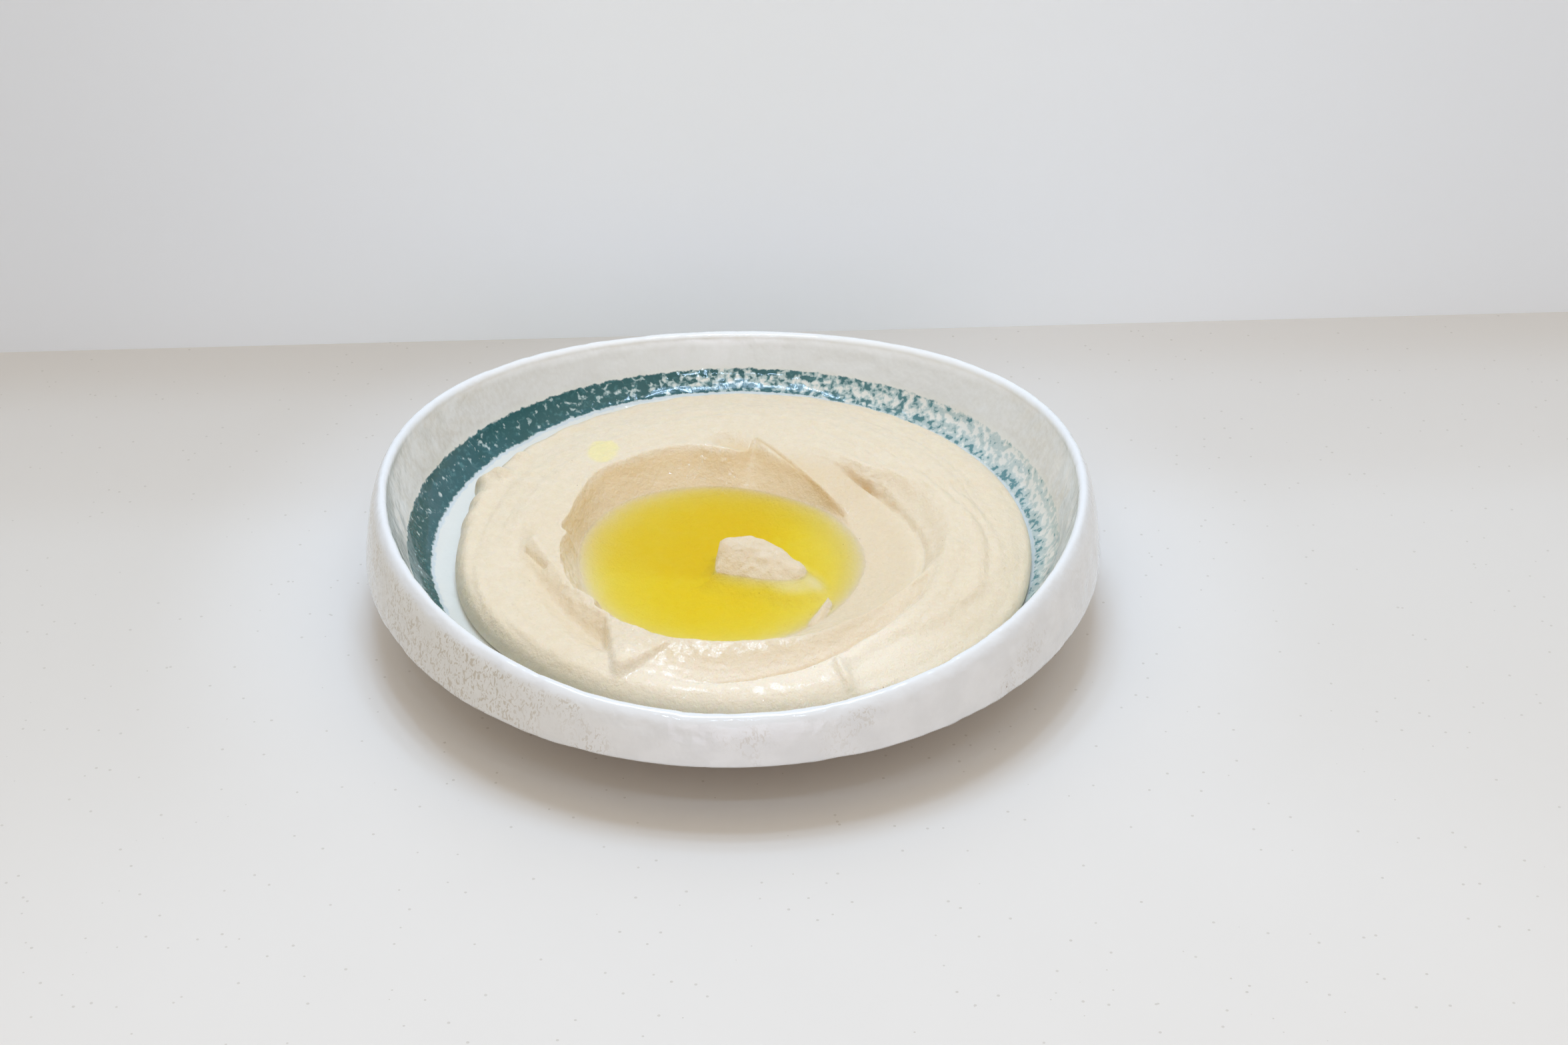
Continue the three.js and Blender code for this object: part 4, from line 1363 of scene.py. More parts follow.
@dataclass(frozen=True)
class Dip:
    """The swirled paste. Sizes in millimetres, angles in degrees round the well's middle."""

    bowl: Bowl
    well: Well = Well()
    lump: Lump = Lump()
    spike: Spike = Spike()
    centre: Span = (3.7, -4.0)
    half_x: float = 96.7
    half_y: float = 94.0
    edge_width: Dial = Dial(((-180, 6.5), (-150, 7), (-120, 9.5), (-95, 11.5), (-60, 13), (-40, 14.5),
                             (-10, 12), (30, 10), (90, 9), (150, 7)))
    uneven: Dial = Dial(((-170, 0.4), (-155, 1.2), (-140, 0.4), (-120, 0), (-60, 0), (-25, 0.4), (-9, -0.8),
                         (5, -0.6), (30, 0), (100, 0), (104, 0.3), (108, -0.1), (113, 0.4), (118, 0),
                         (124, 0.5), (129, 0.1), (134, 0.8), (138, 0.3), (143, 0.9), (147, 0.2), (151, 0.9),
                         (154.5, 0), (156.4, 1.8), (157.8, 4.3), (159.4, 2.0), (162.5, 0.3), (165, 0.8),
                         (168, -0.3), (172, 0.1), (176, -0.6)))
    edge_widest_z: float = 23.0
    edge_top_z: float = 31.2
    edge_tuck: float = 1.6
    groove_margin: float = 5.0
    swell_span: Span = (7.0, 30.0)
    swell: Dial = Dial(((-170, 3.4), (-135, 4), (-90, 4.8), (-45, 4), (-10, 3.2), (30, 4), (60, 4.6),
                        (80, 5), (95, 4.5), (130, 4), (160, 3.6)))
    crease: float = 0.7
    grooves: tuple[Groove, ...] = (
        Groove(-119, -6, 12, 4.2, 4.8, 2.2,
               arc((-117, 70.5), (-100, 69.8), (-80, 68.4), (-65, 67.9), (-50, 66.9), (-35, 67.8),
                   (-22, 69.8), (-8, 70.6)), 1.25,
               arc((-117, 0.1), (-110, 0.25), (-104, 0.5), (-98, 0.85), (-90, 1), (-50, 1), (-30, 0.85),
                   (-17, 0.6), (-8, 0.3))),
        Groove(170, 237, 9, 4.8, 3.8, 5.5,
               arc((177, 67.6), (189, 63.4), (200, 60.8), (213, 60.2), (223, 60.4), (233, 61)), 1.8,
               arc((172, 0.2), (186, 0.5), (200, 0.8), (215, 0.9), (232, 1.1))),
        Groove(-14, 62, 16, 0.9, 1.6, 2.4,
               arc((-12, 88.4), (0, 89), (12, 86.8), (18, 83.8), (26, 81.6), (45, 80.5), (62, 83))),
        Groove(-20, 78, 25, 0.6, 1.6, 2.2, arc((-20, 79), (0, 80), (20, 76.5), (40, 74), (70, 79))),
        Groove(0, 66, 16, 0.5, 1.4, 1.8, arc((0, 74.5), (20, 72.6), (40, 69.5), (66, 73))),
        Groove(-5, 60, 14, -0.7, 1.6, 2.2, arc((-5, 72.4), (13, 71.4), (28, 70.2), (41, 66.4), (60, 66))),
        Groove(70, 150, 24, 0.5, 1.6, 2.4, arc((70, 84), (100, 80), (125, 76), (150, 74))),
        Groove(146, 200, 16, 0.6, 1.6, 2.4, arc((146, 84), (160, 82), (175, 81.5), (200, 84))),
    )
    terraces: tuple[Terrace, ...] = (
        Terrace(-61, 24, 6, 1.5, 4.5,
                arc((-61, 77), (-56, 74.6), (-50, 73.2), (-42, 74), (-37, 77.2), (-29, 81.6), (-22, 83.6),
                    (-17, 87), (-12, 89.4), (-7, 92), (0, 92), (9, 90.6), (20, 87), (26, 83))),
    )
    strokes: tuple[Stroke, ...] = (
        Stroke((32, -82), (39, -97), 2.3, 2.8, 1.3),
        Stroke((-68.8, -16.4), (-61.8, -28), -1.3, 0.5, 0.6),
        Stroke((-66.6, -13), (-60.2, -27), 0.7, 1.6, 1.0),
        Stroke((-56.6, -4.5), (-54.4, -9.6), 1.3, 1.3, 1.2),
        Stroke((-3, 46.5), (4, 42.4), -3, 3.6, 3.6),
        Stroke((-79, 31), (-86.5, 38.5), 2.8, 2, 3.2),
        Stroke((-72, 43), (-77, 46), 1.6, 2, 2.4),
        Stroke((58.5, -39), (61, -33), 0.9, 1.6, 1.6),
    )
    nicks: tuple[Stroke, ...] = (Stroke((7.9, 48.2), (37.2, 11.3), -0.55, 0.45, 0.6),)
    flap: Pairs = ((-41.5, -55), (-37.8, -85.4), (-20.5, -73.2))
    flap_root_z: float = 35.0
    flap_tip_z: float = 32.6
    flap_side: float = 1.1
    flap_round: float = 5.0
    flap_bulge: float = 0.9
    flap_drop: Stroke = Stroke((-35.2, -80), (-34.2, -77), 0.9, 3.2, 4.0)
    columns: int = 640
    blend: int = 8
    search_step: float = 0.1
    foot_of_lump: float = 1.04
    lump_rows: int = 18
    basin_rows: int = 12
    basin_crowd: float = 1.5
    wall_rows: int = 44
    top_rows: int = 50
    edge_rows: int = 14
    tuck_rows: int = 6
    base_sink: float = 0.1

    def outline(self, x: float, y: float, angle: Array) -> Array:
        """Distance from a point to the dip's outline, in each direction.

        Args:
            x: the point's place along X.
            y: its place along Y.
            angle: directions in degrees.

        Returns:
            The distances.
        """
        c, s = np.cos(np.radians(angle)), np.sin(np.radians(angle))
        u, v = (x - self.centre[0]) / self.half_x, (y - self.centre[1]) / self.half_y
        a = (c / self.half_x) ** 2 + (s / self.half_y) ** 2
        b = u * c / self.half_x + v * s / self.half_y
        even = (-b + np.sqrt(b * b - a * (u * u + v * v - 1))) / a
        turn = np.arctan2(y + even * s - self.centre[1], x + even * c - self.centre[0])
        return even + self.uneven.at(np.degrees(turn))

    def from_well(self, x: Array, y: Array) -> tuple[Array, Array, Array]:
        """Where places lie from the well's middle.

        Args:
            x: places along X.
            y: places along Y.

        Returns:
            Their radii, their angles, and how far in from the outline they are.
        """
        radius = np.hypot(x - self.well.x, y - self.well.y)
        angle = np.degrees(np.arctan2(y - self.well.y, x - self.well.x))
        return radius, angle, self.outline(self.well.x, self.well.y, angle) - radius

    def loaf(self, inward: Array, angle: Array) -> Array:
        """Height of the rounded edge and the swelling top.

        Args:
            inward: distances in from the outline.
            angle: angles round the well.

        Returns:
            The heights.
        """
        rounding = 1 - np.clip(inward / self.edge_width.at(angle), 0, 1)
        edge = self.edge_widest_z + (self.edge_top_z - self.edge_widest_z) * np.sqrt(1 - rounding**2)
        return edge + self.swell.at(angle) * smooth(inward, *self.swell_span)

    def flap_height(self, x: Array, y: Array) -> Array:
        """Height of the folded flap.

        Args:
            x: places along X.
            y: places along Y.

        Returns:
            The heights, which drop away outside it.
        """
        inside, share = [], []
        for i in range(3):
            (ax, ay), (bx, by), (cx, cy) = (self.flap[(i + k) % 3] for k in (1, 2, 0))
            length = math.hypot(bx - ax, by - ay)
            here = ((bx - ax) * (y - ay) - (by - ay) * (x - ax)) / length
            full = ((bx - ax) * (cy - ay) - (by - ay) * (cx - ax)) / length
            inside.append(here * math.copysign(1, full))
            share.append(here / full)
        sides = lower_of(inside[0], inside[2], self.flap_round)
        drop = np.maximum(0, self.flap_side - sides) ** 2 / self.flap_side
        slope = self.flap_root_z + (self.flap_tip_z - self.flap_root_z) * np.clip(share[1], 0, 1)
        crowned = 27 * self.flap_bulge * np.prod([np.clip(part, 0, 1) for part in share], axis=0)
        return slope + crowned + self.flap_drop.at(x, y) - drop - np.maximum(0, -inside[1])

    def height(self, x: Array, y: Array) -> Array:
        """Height of the dip's top.

        Args:
            x: places along X.
            y: places along Y.

        Returns:
            The heights.
        """
        radius, angle, inward = self.from_well(x, y)
        relief = sum(stroke.at(x, y) for stroke in self.strokes)
        relief -= sum(cut.at(radius, angle) for cut in (*self.grooves, *self.terraces))
        top = self.loaf(inward, angle) + relief * smooth(inward, 0, self.groove_margin)
        folded = higher_of(top, self.flap_height(x, y), self.crease)
        shelved = lower_of(folded, self.well.shelf(radius, angle), self.well.shelf_crease.at(angle))
        swirled = lower_of(shelved, self.well.wall(radius, angle), self.well.crest_crease.at(angle))
        swirled = swirled + sum(nick.at(x, y) for nick in self.nicks)
        lumped = higher_of(swirled, self.well.oil_z + self.lump.height(x, y), self.crease)
        return np.maximum(lumped, self.spike.height(x, y))

    def along_columns(self, angle: Array, distance: Array) -> tuple[Array, Array]:
        """Places at distances from the lump's middle, one for each column."""
        turn = np.radians(angle)
        return self.lump.x + distance * np.cos(turn), self.lump.y + distance * np.sin(turn)

    def first_distance(self, angle: Array, start: Array, end: Array, test: object) -> Array:
        """Distance along each column at which a test first holds.

        Args:
            angle: the columns' angles.
            start: where the search starts.
            end: where it ends.
            test: function of places along X and Y.

        Returns:
            The distances.
        """
        distance = np.array(start, float)
        open_ = np.ones(len(angle), bool)
        while open_.any():
            open_ &= (distance < end) & ~test(*self.along_columns(angle, distance))
            distance[open_] += self.search_step
        return distance

    def past_brim(self, x: Array, y: Array) -> Array:
        """True where the well's wall has reached the dip's top."""
        radius, angle, inward = self.from_well(x, y)
        return self.well.height(radius, angle) >= self.loaf(inward, angle)

    def rows(self, angle: Array) -> tuple[list[Array], Array]:
        """Distances of the rows along each column, out to the widest point.

        Args:
            angle: the columns' angles.

        Returns:
            The rows, and the distances to the outline.
        """
        outline = self.outline(self.lump.x, self.lump.y, angle)
        width = self.edge_width.at(self.from_well(*self.along_columns(angle, outline))[1])
        shoulder = outline - width
        line = self.first_distance(angle, 0 * angle, shoulder, lambda x, y: self.lump.dry(x, y) <= 0)
        lap = np.concatenate([line[-self.blend:], line, line[:self.blend]])
        line = np.convolve(lap, np.full(2 * self.blend + 1, 1 / (2 * self.blend + 1)), "valid")

        def past_pool(x: Array, y: Array) -> Array:
            """True outside the pool."""
            radius, turn, _ = self.from_well(x, y)
            return radius >= self.well.pool.at(turn)

        pool = self.first_distance(angle, line, shoulder, past_pool)
        brim = self.first_distance(angle, pool, shoulder, self.past_brim)
        foot = self.foot_of_lump * line
        stops = ((0 * line, foot, self.lump_rows, 1), (foot, pool, self.basin_rows, self.basin_crowd),
                 (pool, brim, self.wall_rows, 1), (brim, shoulder, self.top_rows, 1))
        rows = [end - (end - start) * (1 - i / count) ** crowd
                for start, end, count, crowd in stops for i in range(1, count + 1)]
        turns = np.linspace(0, math.pi / 2, self.edge_rows + 1)[1:]
        rows += [shoulder + width * math.sin(turn) for turn in turns]
        return rows, outline

    def build(self) -> bpy.types.Object:
        """Shape a sphere into the dip: its rings become the rows, its segments the columns.

        Returns:
            The dip.
        """
        angle = np.arange(self.columns) * 360 / self.columns
        rows, outline = self.rows(angle)
        rings = [self._ring(angle, distance) for distance in (0 * angle, *rows)]
        edge_r = np.hypot(*self.along_columns(angle, outline))
        tuck = np.maximum(self.edge_tuck, edge_r - (self.bowl.floor_r - self.bowl.floor_bend))
        for turn in np.linspace(0, math.pi / 2, self.tuck_rows + 1)[1:]:
            tucked = self._ring(angle, outline - tuck * (1 - math.cos(turn)), under=True)
            tucked[:, 2] = mix(math.sin(turn), self.edge_widest_z, tucked[:, 2])
            rings.append(tucked)
        rings += [self._ring(angle, outline / 2, under=True), self._ring(angle, 0 * angle, under=True)]
        last = len(rings) - 1
        bpy.ops.mesh.primitive_uv_sphere_add(segments=self.columns, ring_count=last, radius=1)
        piece = fresh("hummus_dip")
        ball = read(piece, "co")
        ring = np.rint(np.arccos(np.clip(ball[:, 2], -1, 1)) / math.pi * last).astype(int)
        points = np.array(rings)[ring, columns_of(ball, self.columns)]
        set_points(piece, points * MM)
        skin = Skin(self, points)
        set_points(piece, skin.kneaded(read(piece, "normal"), ring <= len(rows)) * MM)
        for name, values in skin.finish().items():
            carry(piece, name, values)
        return piece

    def _ring(self, angle: Array, distance: Array, under: bool = False) -> Array:
        """One ring of the dip's points, on its top or on its underside.

        Args:
            angle: the columns' angles.
            distance: how far out the ring lies in each column.
            under: whether it lies on the underside.

        Returns:
            Rows of x, y, z.
        """
        x, y = self.along_columns(angle, distance)
        z = self.bowl.floor_height(np.hypot(x, y)) - self.base_sink if under else self.height(x, y)
        return np.column_stack([x, y, z])


@dataclass(frozen=True)
class Area:
    """Part of the dip's top, with smooth steps from outside it to inside.

    They run along the distance from the well's middle, the height above the oil and the angle from a bearing.
    """

    radius: Span | None = None
    height: Span | None = None
    bearing: float = 0.0
    turn: Span | None = None

    def share(self, radius: Array, height: Array, angle: Array) -> Array:
        """How far inside the area places lie.

        Args:
            radius: their distances from the well's middle.
            height: their heights above the oil.
            angle: their angles round the well's middle.

        Returns:
            Shares from 0 to 1.
        """
        away = np.abs(np.mod(angle - self.bearing + 180, 360) - 180)
        steps = ((radius, self.radius), (height, self.height), (away, self.turn))
        return math.prod(smooth(value, *span) for value, span in steps if span)


class Skin:
    """The dip's surface: its small unevenness, and where it is damp, where oil soaks in with painted shade,
    where oil lies in creases with painted shade, where painted light makes it paler and where painted shade
    darkens it.

    Sizes are in millimetres and angles in degrees. A pair holds where a smooth step starts and ends, the values
    away from the lump and on it, or, for a bell, the flap and the spill, a middle and half a width.
    """

    LUMP_REACH: Span = (42, 36)
    MOUNDS: Uneven = Uneven(11, 2, 7.0)
    MOUND_RISE: float = 0.25
    BEADS: Uneven = Uneven(2.4, 2, 19.0)
    BEAD_RISE: Span = (0.14, 0.26)
    CLODS: Uneven = Uneven(5, 2, 43.0)
    CLOD_RISE: Span = (0.1, 0.7)
    TEARS: Uneven = Uneven(2.2, 2, 3.0)
    TEAR_RISE: float = 0.6
    TORN_WALL: Area = Area(bearing=212, turn=(40, 22))
    TORN_WALL_BELL: Span = (54, 5)
    TORN_FOOT: Area = Area(bearing=24, turn=(30, 20))
    TORN_FOOT_BELL: Span = (66, 2.5)
    TORN_FOOT_SHARE: float = 0.9
    FLAP_X: Span = (-33, 11)
    FLAP_Y: Span = (-70, 12)
    FLAP_SHARE: float = 0.6
    STREAKS: Uneven = Uneven(1, 2, 31.0)
    STREAK_RISE: float = 0.32
    STREAK_WIDTH: float = 2.6
    STREAK_TURN: float = 1.7
    STREAK_SPAN: Span = (56, 66)
    STREAK_FRONT: Span = (-70, 45)
    STREAK_LOSS: float = 0.6
    DRY: Span = (-1, 2)
    OUTLINE: Span = (-1, 4)
    DAMP_FRONT: Area = Area(radius=(52, 60))
    DAMP_FRONT_BELL: Span = (-88, 30)
    DAMP_WALL: Area = Area(radius=(66, 54), bearing=115, turn=(50, 20))
    DAMP_LEAST: float = 0.25
    ABOVE_OIL: Area = Area(height=(0, 1))
    # oil soaking into the well's wall, with painted warm shade there
    SOAK_SHADE: Area = Area(radius=(68, 60), height=(10.5, 7.5))
    SOAK_SHADE_HIGH: Area = Area(height=(4, 7))
    SOAK_SHADE_LOW_SHARE: float = 0.75
    SOAK_SHADE_BACK: Area = Area(bearing=115, turn=(75, 40))
    SOAK_SHADE_FRONT_SHARE: float = 0.35
    SOAK_SHADE_LUMP: Area = Area(radius=(44, 38), height=(-0.4, 1.2))
    SOAK_SHADE_LUMP_LOSS: float = 0.7
    CALM: Area = Area(radius=(66, 60), bearing=115, turn=(60, 40))
    # painted light: the near roll and the paste under the oil are made paler
    LIT_ROLL: Area = Area(radius=(60, 68), bearing=-78, turn=(56, 22))
    LIT_ROLL_SHARE: float = 0.85
    LIT_ROLL_EDGE: Span = (12, 3)
    LIT_ROLL_EDGE_LOSS: float = 0.3
    LIT_BASIN: Area = Area(radius=(54, 52), height=(0.2, -0.6))
    LIT_BASIN_SHARE: float = 0.45
    SHADED_SHELF: Area = Area(radius=(66, 60), turn=(70, 50))
    SHADED_SHELF_START: Span = (36, 42)
    SHADED_LUMP: Area = Area(height=(3, 6.5))
    SHADED_LUMP_MIDDLE: Span = (10, -17)
    SHADED_LUMP_SPAN: Span = (26, 20)
    SHADED_SHARE: float = 0.5
    SPILL_X: Span = (-45, 5.4)
    SPILL_Y: Span = (40, 7.2)
    SPILL_EDGE: Uneven = Uneven(4, 1, 60.0)
    SPILL_WANDER: float = 0.4
    SPILL_SPAN: Span = (1.25, 0.7)
    # painted shade, with oil, along the ridge, the cut, the near groove and the shelf's foot
    RIDGE: Stroke = Stroke((8.4, 47.2), (37.2, 11.3), 0.62, 0.5, 0.9)
    CUT: Stroke = Stroke((-68.6, -17), (-61.8, -28), 0.5, 0.5, 0.6)
    PATCHES: Uneven = Uneven(6, 2, 80.0)
    PATCH_MIDDLE: float = 0.55
    PATCH_SPREAD: float = 0.6
    FOOT_SHARE: float = 0.42
    FOOT_SPAN: Span = (2, 24)
    GROOVE_SHARE: float = 0.3
    GROOVE_SPAN: Span = (0.84, 0.98)

    def __init__(self, dip: Dip, points: Array) -> None:
        """Measure where the dip's points lie.

        Args:
            dip: the dip.
            points: its points in millimetres.
        """
        self.dip = dip
        self.points = points
        self.x, self.y, z = points.T
        self.height = z - dip.well.oil_z
        self.radius, self.angle, self.inward = dip.from_well(self.x, self.y)
        self.flap = bell(self.x, *self.FLAP_X) * bell(self.y, *self.FLAP_Y)

    def _share(self, area: Area) -> Array:
        """How far inside an area each point lies."""
        return area.share(self.radius, self.height, self.angle)

    def kneaded(self, normals: Array, shown: Array) -> Array:
        """Give the shown surface its soft mounds, torn edges and the spoon's streaks.

        Args:
            normals: directions that the points face.
            shown: which of them lie on the shown surface.

        Returns:
            The moved points.
        """
        points, radius = self.points, self.radius
        on_lump = smooth(radius, *self.LUMP_REACH)
        rise = self.MOUND_RISE * self.MOUNDS.at(points)
        rise += self.BEADS.at(points) * mix(on_lump, *self.BEAD_RISE)
        rise += self.CLODS.at(points) * mix(on_lump, *self.CLOD_RISE)
        wall = bell(radius, *self.TORN_WALL_BELL) * self._share(self.TORN_WALL)
        foot = self.TORN_FOOT_SHARE * bell(radius, *self.TORN_FOOT_BELL) * self._share(self.TORN_FOOT)
        torn = np.max([wall, foot, self.FLAP_SHARE * self.flap], axis=0)
        rise += self.TEAR_RISE * torn * self.TEARS.at(points)
        turn = np.radians(self.angle)
        swirl = np.column_stack([
            radius / self.STREAK_WIDTH, self.STREAK_TURN * np.cos(turn), self.STREAK_TURN * np.sin(turn),
        ])
        streaked = 1 - self.STREAK_LOSS * bell(self.angle, *self.STREAK_FRONT)
        rise += self.STREAK_RISE * streaked * smooth(radius, *self.STREAK_SPAN) * self.STREAKS.at(swirl)
        rise = np.where(shown, rise * smooth(self.height, *self.DRY) * smooth(self.inward, *self.OUTLINE), 0)
        return points + rise[:, None] * normals

    def finish(self) -> dict[str, Array]:
        """Numbers for the material, by name.

        Returns:
            Shares for each point: damp; oil soaking in, with painted shade; calm; oil in creases, with painted
                shade; fresh, which is painted light; shaded, which is painted shade; and film.
        """
        front = bell(self.angle, *self.DAMP_FRONT_BELL) * self._share(self.DAMP_FRONT)
        wet = np.clip(front + self._share(self.DAMP_WALL) + self.flap, 0, 1)
        # oil soaking in, with painted warm shade on the well's wall
        soak = self._share(self.SOAK_SHADE) * mix(self._share(self.SOAK_SHADE_BACK), self.SOAK_SHADE_FRONT_SHARE, 1)
        soak *= mix(self._share(self.SOAK_SHADE_HIGH), self.SOAK_SHADE_LOW_SHARE, 1)
        # painted light: the near roll and the paste under the oil are made paler
        roll = self.LIT_ROLL_SHARE * self._share(self.LIT_ROLL)
        roll *= 1 - self.LIT_ROLL_EDGE_LOSS * smooth(self.inward, *self.LIT_ROLL_EDGE)
        basin = self.LIT_BASIN_SHARE * self._share(self.LIT_BASIN)
        off_lump = np.hypot(self.x - self.SHADED_LUMP_MIDDLE[0], self.y - self.SHADED_LUMP_MIDDLE[1])
        shaded = self._share(self.SHADED_SHELF) * smooth(self.radius, *self.SHADED_SHELF_START)
        shaded += smooth(off_lump, *self.SHADED_LUMP_SPAN) * self._share(self.SHADED_LUMP)
        spill = sum(((value - middle) / half) ** 2
                    for value, (middle, half) in ((self.x, self.SPILL_X), (self.y, self.SPILL_Y)))
        spill += self.SPILL_WANDER * self.SPILL_EDGE.at(self.points)
        return {
            "damp": self._share(self.ABOVE_OIL) * mix(wet, self.DAMP_LEAST, 1),
            "soak": soak * (1 - self.SOAK_SHADE_LUMP_LOSS * self._share(self.SOAK_SHADE_LUMP)),
            "calm": self._share(self.CALM),
            # oil in the creases, with painted shade along them
            "crease": np.clip(self._crease_oil_and_shade(), 0, 1),
            "fresh": np.maximum(roll, basin),
            "shaded": self.SHADED_SHARE * np.clip(shaded, 0, 1),
            "film": smooth(spill, *self.SPILL_SPAN),
        }

    def _crease_oil_and_shade(self) -> Array:
        """How much oil has drawn into the fine creases, and the painted shade along them.

        Returns:
            The shares.
        """
        flat = np.column_stack([self.x, self.y, 0 * self.x])
        patchy = np.clip(self.PATCH_MIDDLE + self.PATCH_SPREAD * self.PATCHES.at(flat), 0, 1)
        foot = sum(groove.at(self.radius, self.angle) for groove in self.dip.well.feet)
        foot = self.FOOT_SHARE * foot * patchy * smooth(self.angle, *self.FOOT_SPAN)
        near = self.dip.grooves[0]
        line = smooth(near.at(self.radius, self.angle) / near.depth, *self.GROOVE_SPAN)
        return self.RIDGE.at(self.x, self.y) + self.CUT.at(self.x, self.y) + self.GROOVE_SHARE * line + foot


# ---------------------------------------------------------------- oil


@dataclass(frozen=True)
class OilPool:
    """The oil in the well: a ring round the lump, flat on top, that reaches just into the paste."""

    dip: Dip
    columns: int = 480
    blend: int = 20
    reach: float = 0.3
    cover: float = 1.1
    sink: float = 0.8
    least_depth: float = 0.05
    top_rows: int = 48
    under_rows: int = 28

    def build(self) -> bpy.types.Object:
        """Shape a torus into the ring of oil.

        Returns:
            The oil.
        """
        angle = np.arange(self.columns) * 360 / self.columns
        oil_z = self.dip.well.oil_z
        far = self.dip.outline(self.dip.lump.x, self.dip.lump.y, angle)
        lump = self.dip.lump
        inner = self.dip.first_distance(angle, 0 * angle, far, lambda x, y: lump.dry(x, y) < self.cover)
        outer = self.dip.first_distance(angle, inner + 1, far, self._covered)
        shifts = range(-self.blend, self.blend + 1)
        inner = np.min([np.roll(inner, shift) for shift in shifts], axis=0) - self.reach
        minor = self.top_rows + self.under_rows
        rings, depths = [], []
        for i in range(minor):
            on_top = i <= self.top_rows
            share = i / self.top_rows if on_top else 1 - (i - self.top_rows) / self.under_rows
            x, y = self.dip.along_columns(angle, inner + (outer - inner) * share)
            bottom = self.dip.height(x, y)
            under = np.minimum(bottom - self.sink, oil_z - self.least_depth)
            rings.append(np.column_stack([x, y, 0 * x + oil_z if on_top else under]))
            depths.append(np.maximum(oil_z - bottom, 0) * on_top)
        bpy.ops.mesh.primitive_torus_add(
            major_segments=self.columns, minor_segments=minor, major_radius=2, minor_radius=1,
        )
        piece = fresh("olive_oil_pool")
        torus = read(piece, "co")
        column = columns_of(torus, self.columns)
        across = np.column_stack([2 - np.hypot(torus[:, 0], torus[:, 1]), torus[:, 2]])
        ring = columns_of(across, minor)
        set_points(piece, np.array(rings)[ring, column] * MM)
        carry(piece, "depth", np.array(depths)[ring, column])
        in_edit_mode(self._face_out)
        return piece

    def _covered(self, x: Array, y: Array) -> Array:
        """True where the well's side stands well above the oil."""
        radius, angle, _ = self.dip.from_well(x, y)
        return self.dip.well.height(radius, angle) >= self.dip.well.oil_z + self.cover

    def _face_out(self) -> None:
        """Turn all the faces outwards."""
        bpy.ops.mesh.select_all(action="SELECT")
        bpy.ops.mesh.normals_make_consistent(inside=False)


# ---------------------------------------------------------------- studio


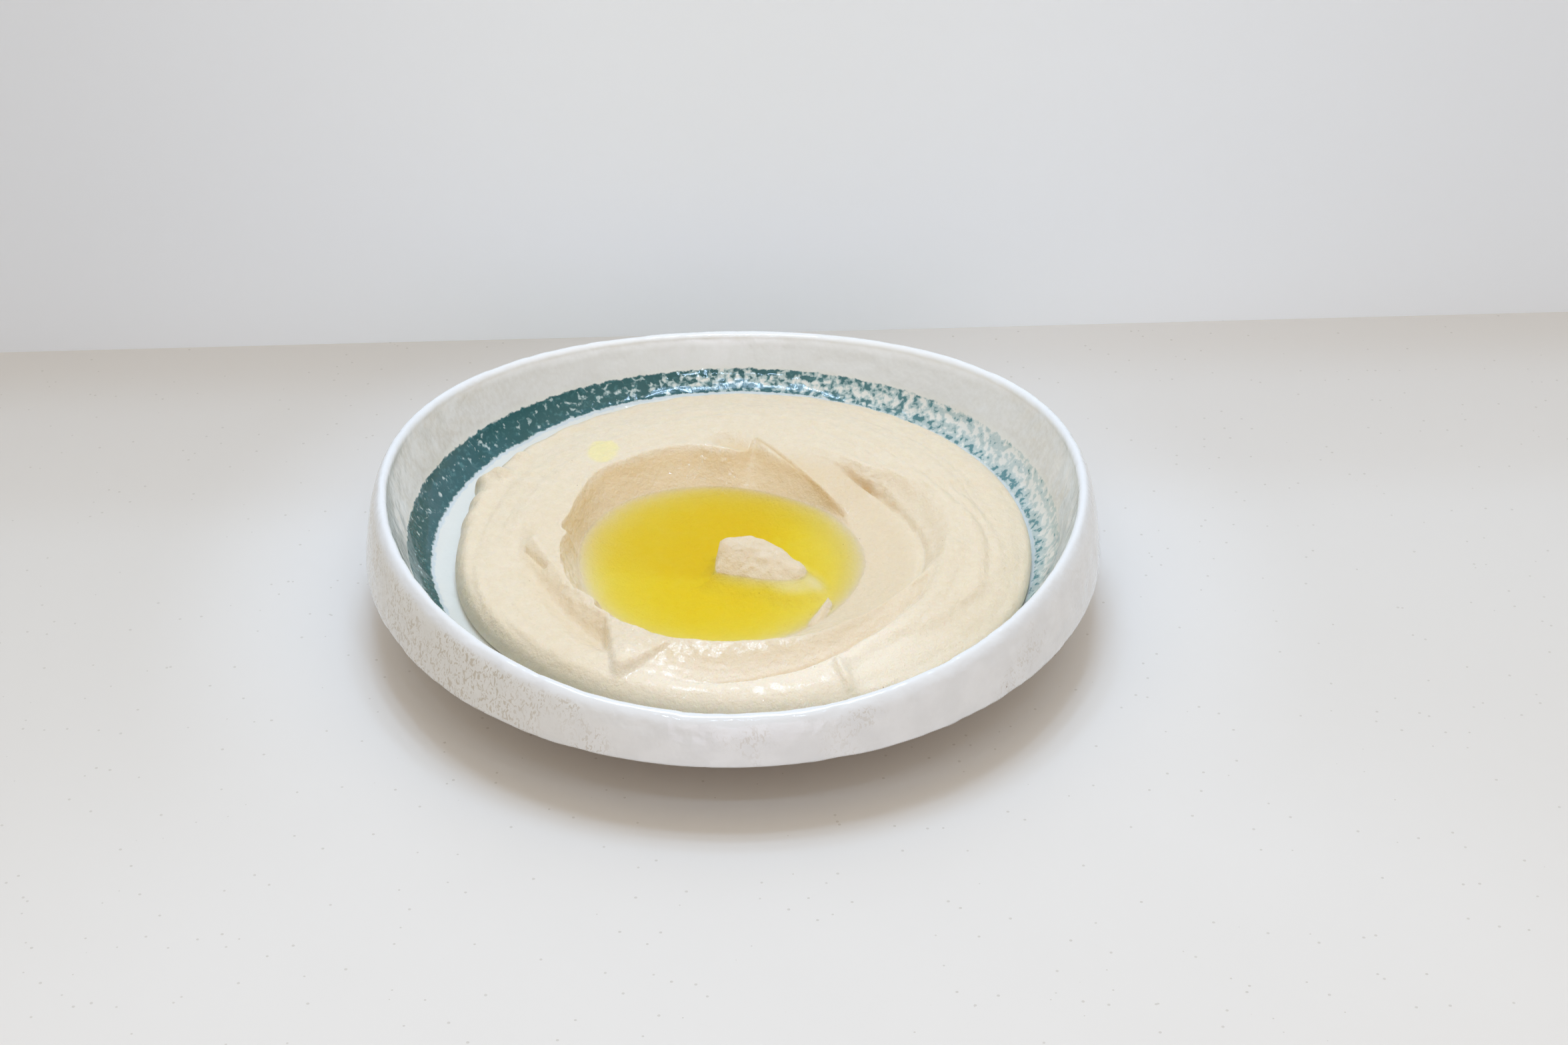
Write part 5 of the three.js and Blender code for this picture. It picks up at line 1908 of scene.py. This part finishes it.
@dataclass(frozen=True)
class Studio:
    """Counter, wall, lights and camera, in metres."""

    counter_size: float = 3.0
    wall_place: Span = (0.024, 0.1825)
    wall_turn: float = 1.83
    wall_height: float = 0.42
    lamp_place: Place = (-0.02, 0.255, 1.38)
    lamp_size: float = 0.7
    lamp_power: float = 5.6
    lamp_colour: Colour = (0.50, 0.70, 0.96)
    spots: int = 7
    spot_ring: float = 0.23
    spot_size: float = 0.09
    spot_power: float = 0.8
    front_place: Place = (0.1, -1.55, 0.42)
    front_size: float = 1.1
    front_power: float = 5.4
    front_colour: Colour = (0.58, 0.55, 0.66)
    glint_places: tuple[Place, ...] = ((-0.26, -0.7, 1.08), (0.0, -0.74, 1.1), (0.26, -0.7, 1.08))
    glint_size: float = 0.06
    glint_power: float = 0.5
    fill_above: Colour = (0.91, 0.79, 0.62)
    fill_beside: float = 0.31
    eye: Place = (0.0, -0.838948, 0.584576)
    tilt: float = 56.5872
    pan: float = -1.1553
    lens: float = 68.878
    sensor: float = 36.0
    nearest: float = 0.01

    def build(self) -> None:
        """Set up everything round the dish."""
        self._counter()
        self._wall()
        self._lights()
        self._room()
        self._camera()

    def _counter(self) -> None:
        """Lay the counter."""
        bpy.ops.mesh.primitive_plane_add(size=self.counter_size, location=(0, 0, 0))
        counter = fresh("counter")
        counter.data.materials.append(CounterFinish().material())

    def _wall(self) -> None:
        """Stand the wall behind the dish."""
        bpy.ops.mesh.primitive_plane_add(
            size=1, location=(*self.wall_place, self.wall_height / 2),
            rotation=(math.radians(90), 0, math.radians(self.wall_turn)),
        )
        wall = fresh("wall")
        wall.scale = (self.counter_size, self.wall_height, 1)
        wall.data.materials.append(WallFinish().material())

    def _lights(self) -> None:
        """Hang a wide soft lamp and small ones over the dish, and a fill in front of it."""
        self._lamp("lamp", self.lamp_place, self.lamp_size, self.lamp_power, self.lamp_colour)
        for number in range(self.spots):
            turn = 2 * math.pi * number / (self.spots - 1)
            ring = self.spot_ring if number < self.spots - 1 else 0.0
            place = (self.lamp_place[0] + ring * math.cos(turn), self.lamp_place[1] + ring * math.sin(turn))
            place = (*place, self.lamp_place[2])
            self._lamp(f"spot_{number + 1}", place, self.spot_size, self.spot_power, self.lamp_colour)
        for number, place in enumerate(self.glint_places, 1):
            self._lamp(f"glint_{number}", place, self.glint_size, self.glint_power, self.lamp_colour)
        self._lamp("front_fill", self.front_place, self.front_size, self.front_power, self.front_colour)

    def _room(self) -> None:
        """Fill the room with warmer light from above, dimmer beside the dish."""
        world = bpy.data.worlds.new("room")
        world.use_nodes = True
        tree = world.node_tree
        place = tree.nodes.new("ShaderNodeTexCoord").outputs["Generated"]
        height = tree.nodes.new("ShaderNodeSeparateXYZ")
        tree.links.new(place, height.inputs[0])
        share = tree.nodes.new("ShaderNodeMapRange")
        share.inputs["To Min"].default_value = self.fill_beside
        tree.links.new(height.outputs["Z"], share.inputs["Value"])
        background = tree.nodes["Background"]
        background.inputs["Color"].default_value = (*self.fill_above, 1)
        tree.links.new(share.outputs[0], background.inputs["Strength"])
        bpy.context.scene.world = world
        bpy.context.scene.view_settings.view_transform = "Standard"

    def _lamp(self, name: str, place: Place, size: float, power: float, colour: Colour) -> None:
        """Hang a round lamp that points at the dish.

        Args:
            name: its name.
            place: where it hangs.
            size: its diameter.
            power: its power in watts.
            colour: its colour.
        """
        bpy.ops.object.light_add(type="AREA", location=place)
        lamp = bpy.context.object
        lamp.name = name
        lamp.data.shape = "DISK"
        lamp.data.size = size
        lamp.data.energy = power
        lamp.data.color = colour
        lamp.rotation_euler = (-Vector(place)).to_track_quat("-Z", "Y").to_euler()

    def _camera(self) -> None:
        """Place the camera."""
        turn = (math.radians(self.tilt), 0, math.radians(self.pan))
        bpy.ops.object.camera_add(location=self.eye, rotation=turn)
        camera = bpy.context.object
        camera.name = "camera"
        camera.data.sensor_width = self.sensor
        camera.data.lens = self.lens
        camera.data.clip_start = self.nearest
        bpy.context.scene.camera = camera


def main() -> None:
    """Build the dish from the bowl up."""
    logging.basicConfig(level=logging.INFO, format="%(name)s: %(message)s")
    bpy.ops.object.select_all(action="DESELECT")
    Studio().build()
    bowl = Bowl()
    deliver(bowl.build(), "bowl", Slot.BOWL, GlazeFinish().material(bowl.runs()))
    dip = Dip(bowl)
    deliver(dip.build(), "hummus", Slot.DIP, PasteFinish().material())
    deliver(OilPool(dip).build(), "olive_oil", Slot.OIL, OilFinish().material())


if __name__ == "__main__":
    main()
